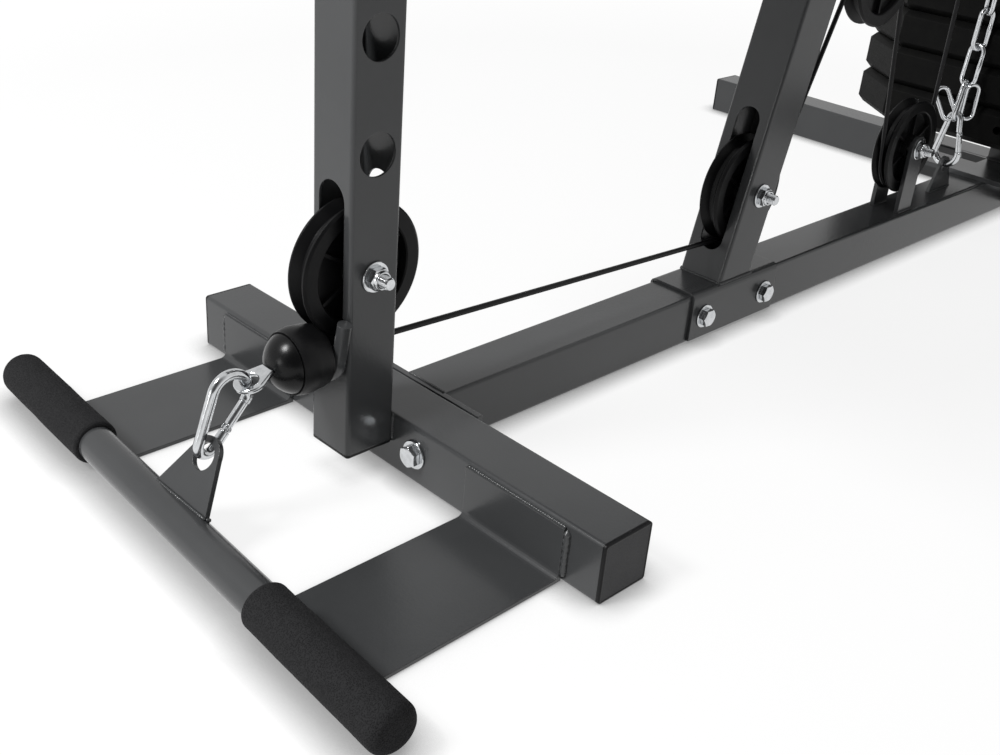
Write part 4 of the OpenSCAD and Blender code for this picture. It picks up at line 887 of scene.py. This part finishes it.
# Foam
def foam(bm, radius, bore, length, matrix, closed=False, seed=0.0):
    """Foam sleeve up the local Z with soft rims and an uneven skin. A closed one covers the tube's end."""
    rim = GRIP_ROUND if radius < 30 else 12
    lip = 3.2 if closed else rim
    rows = max(8, round(length / 3))
    profile = [(bore, 1.2)] + arc(radius - lip, lip, lip, -90, 0, 6)
    profile += [(radius, lip + (length - lip - rim) * k / rows) for k in range(1, rows)]
    profile += arc(radius - rim, length - rim, rim, 0, 90, 8)
    profile += [(radius * 0.3, length + 0.2), (0, length + 0.3)] if closed else [(bore, length - 1.2)]

    def uneven(point):
        if math.hypot(point.x, point.y) <= bore:
            return point
        near = point * 0.035 + Vector((seed, 0, 0))
        swell = 0.28 * noise.noise(near) + 0.1 * noise.noise(point * 0.35 + Vector((0, seed, 0)))
        return point + Vector((point.x, point.y, 0)).normalized() * swell

    lathe(bm, profile, matrix, 112, bend=uneven)


def foam_piece(name, sleeves, body, node):
    """One piece of foam sleeves, each given as (radius, bore, length, matrix, closed)."""
    bm = bmesh.new()
    for index, (radius, bore, length, matrix, closed) in enumerate(sleeves):
        foam(bm, radius, bore, length, matrix, closed, seed=7.3 * index)
    obj = piece(name, bm, "black_foam", body, crease=60)
    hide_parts(node)


def bar_grips(name, knees, reach, body, node):
    """Closed grips on a bar's two ends, which reach out from their knees."""
    foot = Matrix.Translation((0, 0, reach - GRIP_LEN))
    foam_piece(name, [(GRIP_R, BAR_R, GRIP_LEN, knee @ foot, True) for knee in knees], body, node)


def foams():
    low = [local(LOW_BAR_X, LOW_BAR_Y, LOW_BAR_Z, (-LOW_BAR_YAW, "Z"), (s * QUARTER, "Y")) for s in (-1, 1)]
    bar_grips("low_bar_foam", low, LOW_BAR_LEN / 2, "low_handle", "low_bar_grips")
    lat = [local(s * LAT_MID_LEN / 2, LAT_Y, LAT_BAR_Z, (s * (QUARTER + LAT_DROOP), "Y")) for s in (-1, 1)]
    bar_grips("lat_bar_foam", lat, LAT_END_LEN, "lat_handle", "lat_bar_grips")
    for side in ("left", "right"):
        name = side + "_foam_roller"
        low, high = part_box(name)
        mid = (low + high) / 2
        length = (high.x - low.x) / MM
        radius = (high.z - low.z) / 2 / MM
        end = Matrix.Translation((low.x, mid.y, mid.z)) @ Matrix.Rotation(QUARTER, 4, "Y")
        sleeve = (radius, ROLLER_BORE_R, length, end @ Matrix.Scale(MM, 4), False)
        foam_piece(name + "_sleeve", [sleeve], side + "_roller", name)
    for side, s in (("left", -1), ("right", 1)):
        x = s * (BUTTERFLY_GAP / 2 + ARM_REACH * math.cos(ARM_ANGLE))
        y = PRESS_Y - ARM_REACH * math.sin(ARM_ANGLE)
        handle = local(x, y - HANDLE_LEN - 2 + HANDLE_FOAM_LEN, ARM_LOW_Z + ARM_R, (QUARTER, "X"))
        sleeves = [(ARM_FOAM_R, ARM_R - 0.95, ARM_FOAM_LEN, local(x, y, ARM_FOAM_Z0), False),
                   (GRIP_R, BAR_R, HANDLE_FOAM_LEN, handle, True)]
        foam_piece(side + "_arm_sleeves", sleeves, side + "_arm", side + "_arm_foam")


# Cushions
def rounded_loop(width, length, radius, corner_steps=10, side_steps=18):
    """Outline of a rounded rectangle, with the same number of points for every size."""
    x, y = width / 2 - radius, length / 2 - radius
    centres = ((x, y), (-x, y), (-x, -y), (x, -y))
    corners = [arc(*centre, radius, 90 * i, 90 * i + 90, corner_steps) for i, centre in enumerate(centres)]
    points = []
    for i, corner in enumerate(corners):
        start, end = Vector(corner[-1]), Vector(corners[(i + 1) % 4][0])
        points += corner + [tuple(start.lerp(end, k / side_steps)) for k in range(1, side_steps)]
    return points


def pulled_in(x, y, width, length):
    """The cover pulls the long sides in between the corners."""
    return (x * (1 - 0.014 * (1 - (2 * y / length) ** 2)), y * (1 - 0.01 * (1 - (2 * x / width) ** 2)))


def cushion_ring(width, length, inset, z):
    """Points of the cover at an inset from the outline, with light folds where it turns at the corners."""
    points = []
    for x, y in rounded_loop(width - 2 * inset, length - 2 * inset, max(36 - 0.8 * inset, 8)):
        x, y = pulled_in(x, y, width, length)
        near = min(1.0, (abs(2 * x / width) * abs(2 * y / length)) ** 4)
        rise = max(0.0, z / PAD_T - 0.6) * max(0.0, 1 - inset / 60)
        fold = 2.2 * near * rise * math.sin(17 * math.atan2(y, x))
        wave = 0.5 * noise.noise(Vector((x * 0.02, y * 0.02, z * 0.03)))
        points.append(Vector((x, y, z + (wave + fold if z > PAD_T * 0.5 else 0))))
    return points


def stitches(bm, loop, matrix, spacing=6.0, radius=0.45):
    """Row of single stitches that follow a closed path of points."""
    gone = 0.0
    rise = Vector((0, 0, 0.25))
    for a, b in zip(loop, loop[1:] + loop[:1]):
        way = (b - a).normalized()
        while gone < (b - a).length:
            start = a + way * gone
            end = start + way * spacing * 0.62
            sweep(bm, [start - rise, start + rise, end + rise, end - rise], radius, matrix, steps=6)
            gone += spacing
        gone -= (b - a).length


def cushion(name, node, width, length, matrix):
    """Pad on a board: crowned top, piping round its edge, a stitched border and the cover turned in below."""
    t = PAD_T
    profile = ((34, 0.6), (32, 0), (11, 0), (8, 1.2), (6.8, 4), (5.2, 12), (2.6, 0.28 * t), (1, 0.42 * t),
               (0.4, 0.5 * t), (1.6, 0.55 * t), (2.4, 0.57 * t), (1.6, 0.6 * t), (1.2, 0.66 * t),
               (2.4, 0.74 * t), (5, 0.81 * t), (9, 0.865 * t), (13.5, 0.9 * t), (16.5, 0.906 * t),
               (19.5, 0.918 * t), (28, 0.948 * t), (42, 0.972 * t), (60, 0.988 * t),
               (80, 0.996 * t), (100, t))
    bm = bmesh.new()
    rings = [ring(bm, matrix, cushion_ring(width, length, inset, z)) for inset, z in profile]
    join_rings(bm, rings, ends=True)
    piping = [matrix @ p for p in cushion_ring(width, length, 0.8, 0.565 * t)]
    sweep(bm, piping, 2.4 * MM, steps=12, closed=True)
    obj = piece(name, bm, "pad_vinyl", "frame", crease=70)
    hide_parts(node)
    bm = bmesh.new()
    stitches(bm, cushion_ring(width, length, 13.5, 0.903 * t), matrix)
    piece(name + "_stitches", bm, "pad_vinyl", "frame")


def cushions():
    seat = local(0, SEAT_Y0 + SEAT_LEN / 2, SEAT_TUBE_Z1 + SLACK)
    cushion("seat_cushion", "seat_pad", SEAT_W, SEAT_LEN, seat)
    up_lean = (SEAT_TUBE_Z1 + PAD_T + PAD_GAP) / math.cos(LEAN) + BACK_LEN / 2
    lean = Matrix.Translation(at(0, lean_front(0), 0)) @ Matrix.Rotation(-LEAN, 4, "X")
    back = lean @ Matrix.Translation(Vector((0, -SLACK, up_lean)) * MM) @ Matrix.Rotation(QUARTER, 4, "X")
    cushion("back_cushion", "back_pad", BACK_W, BACK_LEN, back @ Matrix.Scale(MM, 4))


# End caps
def end_cap(rims, faces, width, depth, matrix):
    """Cap with a rounded rim and a flat face that lies a little deeper."""
    profile = ((0, 0), (0, 1.9), (0.2, 2.5), (0.6, 2.9), (1, CAP_LIP), (1.6, CAP_LIP), (1.9, 2.9), (2.2, 2.6))
    rings = []
    for inset, z in profile:
        loop = rounded_loop(width - 2 * inset, depth - 2 * inset, max(TUBE_CORNER - inset, 0.7), 6, 4)
        rings.append(ring(rims, matrix, ((x, y, z) for x, y in loop)))
    join_rings(rims, rings)
    loop = rounded_loop(width - 4.2, depth - 4.2, 0.9, 6, 4)
    faces.faces.new(ring(faces, matrix, ((x, y, CAP_LIP - 0.3) for x, y in loop)))


def end_caps():
    rims = bmesh.new()
    faces = bmesh.new()
    boom_x = (BASE_W + BOOM_RAIL_W) / 2
    for s in (-1, 1):
        for half, y in ((CROSSBAR_LEN / 2, BASE_W / 2), (REAR_CROSSBAR_LEN / 2, REAR_MID_Y)):
            matrix = local(s * (half - CAP_LIP), y, BASE_W / 2, (s * QUARTER, "Y"))
            end_cap(rims, faces, BASE_W, BASE_W, matrix)
        for y, turn in ((BOOM_Y0 + CAP_LIP, QUARTER), (BEAM_REACH + BASE_W, -QUARTER)):
            end_cap(rims, faces, BOOM_RAIL_W, BOOM_H, local(s * boom_x, y, BOOM_MID_Z, (turn, "X")))
        matrix = local(s * (ROLLER_HALF - CAP_LIP), LOW_AXLE[0], ROLLER_Z, (s * QUARTER, "Y"))
        r = ROLLER_CAP_R
        lathe(rims, [(ARM_R - 4, 0), (r - 0.4, 0), (r, 0.5), (r, 1.8), (r - 0.6, 2.6), (r - 1.5, CAP_LIP),
                     (r - 4, CAP_LIP), (r - 4.6, 2.7), (0, 2.7)], matrix, 48)
    post = FRONT_POST_W
    end_cap(rims, faces, post, post, local(0, LOW_AXLE[0], FRONT_POST_Z0 + CAP_LIP, (math.pi, "X")))
    end_cap(rims, faces, post, post, local(0, LOW_AXLE[0], FRONT_POST_Z1 - CAP_LIP))
    for y, depth in ((MAST_Y, LEAN_DEPTH), (REAR_MID_Y, BASE_W)):
        end_cap(rims, faces, BASE_W, depth, local(0, y, BOOM_Z0 + BOOM_H))
    obj = piece("cap_rims", rims, "black_plastic", "frame")
    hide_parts("end_caps")
    obj = piece("cap_faces", faces, "black_plastic", "frame")
    obj.data.materials[0] = cap_face


# Cables
def leg_angle(a, b):
    """Direction in degrees of the straight stretch from one wheel to the next."""
    dy, dz = b.y - a.y, b.z - a.z
    lean = math.asin((b.turn * b.radius - a.turn * a.radius) / math.hypot(dy, dz))
    return math.degrees(math.atan2(dz, dy) - lean)


def touch(wheel, angle):
    a = math.radians(angle - 90 * wheel.turn)
    return (wheel.y + wheel.radius * math.cos(a), wheel.z + wheel.radius * math.sin(a))


def wrapped(before, wheel, after):
    """Points of the cable on a wheel, between the wheels before and after it."""
    start = leg_angle(before, wheel) - 90 * wheel.turn
    end = leg_angle(wheel, after) - 90 * wheel.turn
    while (end - start) * wheel.turn < -0.001:
        end += 360 * wheel.turn
    return arc(wheel.y, wheel.z, wheel.radius, start, end, max(4, round(abs(end - start) / 4)))


def share_way(a, b, share):
    return tuple(Vector(a).lerp(Vector(b), share))


def cable(name, paths, body=None, node=None):
    """Sheathed cable along paths of (y, z) points in the middle plane."""
    bm = bmesh.new()
    for path in paths:
        sweep(bm, [(0, y, z) for y, z in path], CABLE_R, local(0, 0, 0), steps=14)
    obj = piece(name, bm, "cable_sheath", body)
    if node:
        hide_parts(node)
    return obj


def cable_between(name, a, b, node=None):
    """Straight stretch of cable between two points, on no body."""
    obj = cable(name, [[share_way(a, b, k / 24) for k in range(25)]], node=node)
    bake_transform(obj)


def leg(name, a, b, node=None):
    angle = leg_angle(a, b)
    cable_between(name, touch(a, angle), touch(b, angle), node)


def cables():
    angle = leg_angle(LOW_END, SLOT_WHEEL)
    low, slot = touch(LOW_END, angle), touch(SLOT_WHEEL, angle)
    guide = share_way(low, slot, (LOW_AXLE[0] - low[0]) / (slot[0] - low[0]))
    cable_between("low_cable_front", low, guide, "low_cable_tail")
    on_frame = [[guide] + wrapped(LOW_END, SLOT_WHEEL, FORK_WHEEL),
                wrapped(FORK_WHEEL, BASE_WHEEL, LOWER_WHEEL),
                wrapped(LAT_END, FRONT_WHEEL, REAR_WHEEL) + wrapped(FRONT_WHEEL, REAR_WHEEL, UPPER_WHEEL),
                wrapped(UPPER_WHEEL, STACK_WHEEL, STEM_END),
                wrapped(FORK_EYE, PRESS_WHEEL, PRESS_EYE)]
    cable("cables_on_frame_wheels", on_frame, "frame", "frame_cables")
    leg("cable_slot_to_fork", SLOT_WHEEL, FORK_WHEEL)
    cable("cable_on_fork_wheel", [wrapped(SLOT_WHEEL, FORK_WHEEL, BASE_WHEEL)], "fork", "fork_cables")
    leg("cable_fork_to_base", FORK_WHEEL, BASE_WHEEL)
    leg("cable_base_to_block", BASE_WHEEL, LOWER_WHEEL)
    on_block = [wrapped(BASE_WHEEL, LOWER_WHEEL, CHAIN_END), wrapped(REAR_WHEEL, UPPER_WHEEL, STACK_WHEEL)]
    cable("cables_on_block_wheels", on_block, "block", "block_cables")
    leg("cable_block_to_chain", LOWER_WHEEL, CHAIN_END)
    leg("cable_rear_to_block", REAR_WHEEL, UPPER_WHEEL)
    leg("cable_block_to_stack_wheel", UPPER_WHEEL, STACK_WHEEL)
    leg("cable_to_stem", STACK_WHEEL, STEM_END, "stack_cable")
    leg("lat_cable_front", LAT_END, FRONT_WHEEL, "lat_cable_tail")
    leg("cable_fork_to_press_wheel", FORK_EYE, PRESS_WHEEL)
    leg("cable_to_press", PRESS_WHEEL, PRESS_EYE)
    ferrule("stem_ferrule", (STACK_Y, STEM_TOP - 1), (0, 1), "stack")
    way = (PRESS_WHEEL.y + WRAP_R - FORK_EYE.y, PRESS_WHEEL.z - FORK_EYE.z)
    ferrule("fork_ferrule", FORK_EYE[:2], way, "fork")
    ferrule("press_ferrule", PRESS_EYE[:2], (1, 0), "press")


def ferrule(name, point, way, body):
    """Pressed sleeve on a cable's end, from the point on along the way, both in the middle plane."""
    start = Vector((0, *point))
    along = Vector((0, *way)).normalized()
    bm = bmesh.new()
    marks = [start + along * k for k in (0, 0.9, 2, 18, 19.1, 20)]
    sweep(bm, marks, lambda share: 5.2 if 0.1 < share < 0.9 else 4.3, local(0, 0, 0), steps=24)
    piece(name, bm, "zinc_steel", body)


# Chain
def link(bm, matrix):
    """Link that stands on its lower bow, with a thicker spot where its wire is welded."""
    r = (LINK_W - LINK_WIRE) / 2
    top = LINK_PITCH + LINK_WIRE - r
    half = (top - r) / 2
    path = [(r, r + half + half * k / 6) for k in range(6)] + arc(0, top, r, 0, 180, 14)
    path += [(-r, top - 2 * half * k / 10) for k in range(1, 10)]
    path += arc(0, r, r, 180, 360, 14) + [(r, r + half * k / 6) for k in range(1, 6)]

    def wire(share):
        weld = min(share, 1 - share) / 0.035
        return LINK_WIRE / 2 - SLACK / 2 + 0.4 * math.exp(-weld * weld)

    sweep(bm, [(x, 0, z) for x, z in path], wire, matrix, steps=14, closed=True)


def chain():
    bm = bmesh.new()
    hook = local(0, ANCHOR_Y, ANCHOR_HOOK_Z + HOOK_SPAN, (math.pi, "X"))
    hook_body(bm, hook)
    hook_gate(bm, hook)
    sideways = (CHAIN_TOP_Y - ANCHOR_Y) / sum(CHAIN_STEPS)
    y = ANCHOR_Y
    for i, (step, turn) in enumerate(zip(CHAIN_STEPS, CHAIN_TURNS)):
        lean = -math.asin(step * sideways / LINK_PITCH)
        link(bm, local(0, y, CHAIN_Z0 + i * LINK_PITCH, (lean, "X"), (math.radians(turn), "Z")))
        y += step * sideways
    for x, y, z, lean in SPARE_LINKS:
        spare = local(x, ANCHOR_Y + y, CHAIN_Z0 + z, (SPARE_TURN, "Z"), (lean, "Y"))
        link(bm, spare @ Matrix.Scale(SPARE_SIZE, 4))
    path = [(0, y, z) for y, z in circle(0, 0, RING_R, 32)]
    sweep(bm, path, RING_WIRE / 2, local(0, CHAIN_TOP_Y, FERRULE_Z - RING_DROP), steps=12, closed=True)
    top = [(0, 0, FERRULE_Z - k) for k in (12.5, 12, 11.2, 0.8, 0)]
    sweep(bm, top, lambda share: 6 if 0.4 < share < 0.8 else 5.2, local(0, CHAIN_TOP_Y, 0), steps=24)
    obj = piece("chain_links", bm, "zinc_steel", "frame")
    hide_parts("anchor_chain")


# Studio
def make_stage():
    mesh = bpy.data.meshes.new("studio_floor")
    far = FLOOR_HALF
    mesh.from_pydata([(-far, -far, 0), (far, -far, 0), (far, far, 0), (-far, far, 0)], [], [(0, 1, 2, 3)])
    material = bpy.data.materials.new("studio_white")
    material.use_nodes = True
    tree = material.node_tree
    tree.nodes.clear()
    # Painted shadow: ambient occlusion darkens the floor's glow for camera rays where the object comes near
    # it
    near = add_node(tree, "ShaderNodeAmbientOcclusion", {"Distance": PAINTED_SHADOW_REACH}, samples=6)
    place = add_node(tree, "ShaderNodeNewGeometry").outputs["Position"]
    distance = add_node(tree, "ShaderNodeVectorMath", {0: place}, operation="LENGTH")
    far_glow = map_range(tree, distance.outputs["Value"], NEAR_FLOOR, FAR_FLOOR, FLOOR_GLOW, 1.0)
    painted_shadow = map_range(tree, near.outputs["AO"], PAINTED_SHADOW_EDGE, 1.0, PAINTED_SHADOW_GLOW, far_glow)
    rays = add_node(tree, "ShaderNodeLightPath").outputs
    level = map_range(tree, rays["Is Camera Ray"], 0, 1, FLOOR_GLOW, painted_shadow)
    glow = add_node(tree, "ShaderNodeEmission", {"Strength": level})
    soft = add_node(tree, "ShaderNodeBsdfDiffuse", {"Color": FLOOR_SHADE})
    seen = add_node(tree, "ShaderNodeAddShader", {0: glow.outputs[0], 1: soft.outputs[0]})
    pale = add_node(tree, "ShaderNodeBsdfDiffuse", {"Color": FLOOR_PALE})
    shown = rays["Is Camera Ray"]
    for name in ("Is Glossy Ray", "Is Transmission Ray"):
        shown = add_node(tree, "ShaderNodeMath", {0: shown, 1: rays[name]}, operation="MAXIMUM").outputs[0]
    switch = add_node(tree, "ShaderNodeMixShader", {"Fac": shown, 1: pale.outputs[0], 2: seen.outputs[0]})
    add_node(tree, "ShaderNodeOutputMaterial", {"Surface": switch.outputs[0]})
    mesh.materials.append(material)
    add_object("studio_floor", mesh)


def world_side(tree, side):
    """How far the world's direction points to one side, from -1 to 1."""
    way = add_node(tree, "ShaderNodeTexCoord").outputs["Generated"]
    inputs = {0: way, 1: Vector(side).normalized()}
    return add_node(tree, "ShaderNodeVectorMath", inputs, operation="DOT_PRODUCT").outputs["Value"]


def make_light():
    world = bpy.data.worlds.new("studio")
    bpy.context.scene.world = world
    world.use_nodes = True
    tree = world.node_tree
    background = tree.nodes["Background"]
    background.inputs["Color"].default_value = (1, 1, 1, 1)
    rays = add_node(tree, "ShaderNodeLightPath").outputs
    room = map_range(tree, world_side(tree, ROOM_SIDE), *ROOM_EDGE, GLOSS_LEVEL, ROOM_LEVEL)
    level = map_range(tree, world_side(tree, (0, 1, 0)), *REAR_EDGE, FRONT_LEVEL, REAR_LEVEL)
    mirrored = map_range(tree, rays["Is Glossy Ray"], 0, 1, level, room)
    strength = map_range(tree, rays["Is Camera Ray"], 0, 1, mirrored, 1.0)
    tree.links.new(strength, background.inputs["Strength"])
    make_lamp("key", KEY_FROM, KEY_SIZE, KEY_WATTS)
    make_lamp("low", LOW_FROM, LOW_SIZE, LOW_WATTS)


def make_lamp(name, side, size, watts):
    """Round area light on one side of the front upright's foot, turned towards it."""
    way = Vector(side).normalized()
    data = bpy.data.lights.new(name, "AREA")
    data.shape = "DISK"
    data.size = size
    data.energy = watts
    place = Matrix.Translation(at(0, LOW_AXLE[0], LIT_Z) + way * LIGHT_DISTANCE)
    add_object(name, data).matrix_world = place @ way.to_track_quat("Z", "Y").to_matrix().to_4x4()


make_camera()
make_light()
make_stage()
dress_frame()
frame_welds()
lug_weld("low_bar_weld", local(LOW_BAR_X, LOW_BAR_Y, LOW_BAR_Z, (-LUG_TILT, "X")), "low_handle")
lug_weld("lat_bar_weld", local(0, LAT_Y, LAT_BAR_Z), "lat_handle")
frame_fasteners()
pulley_block("floating_block_plates", "block", LOWER_AXLE, UPPER_AXLE, "floating_block")
pulley_block("fork_plates", "fork", FORK_AXLE, FORK_TOP, "fork_block")
low_hook()
lat_hook()
ball_stop("low_ball", local(0, BALL_Y, BALL_Z, (-QUARTER, "X")), "low_end", "low_ball_stop")
ball_stop("lat_ball", local(0, LAT_Y, LAT_BALL_Z), "lat_end", "lat_ball_stop")
foams()
cushions()
end_caps()
cables()
chain()

bpy.context.scene.view_settings.view_transform = "Standard"
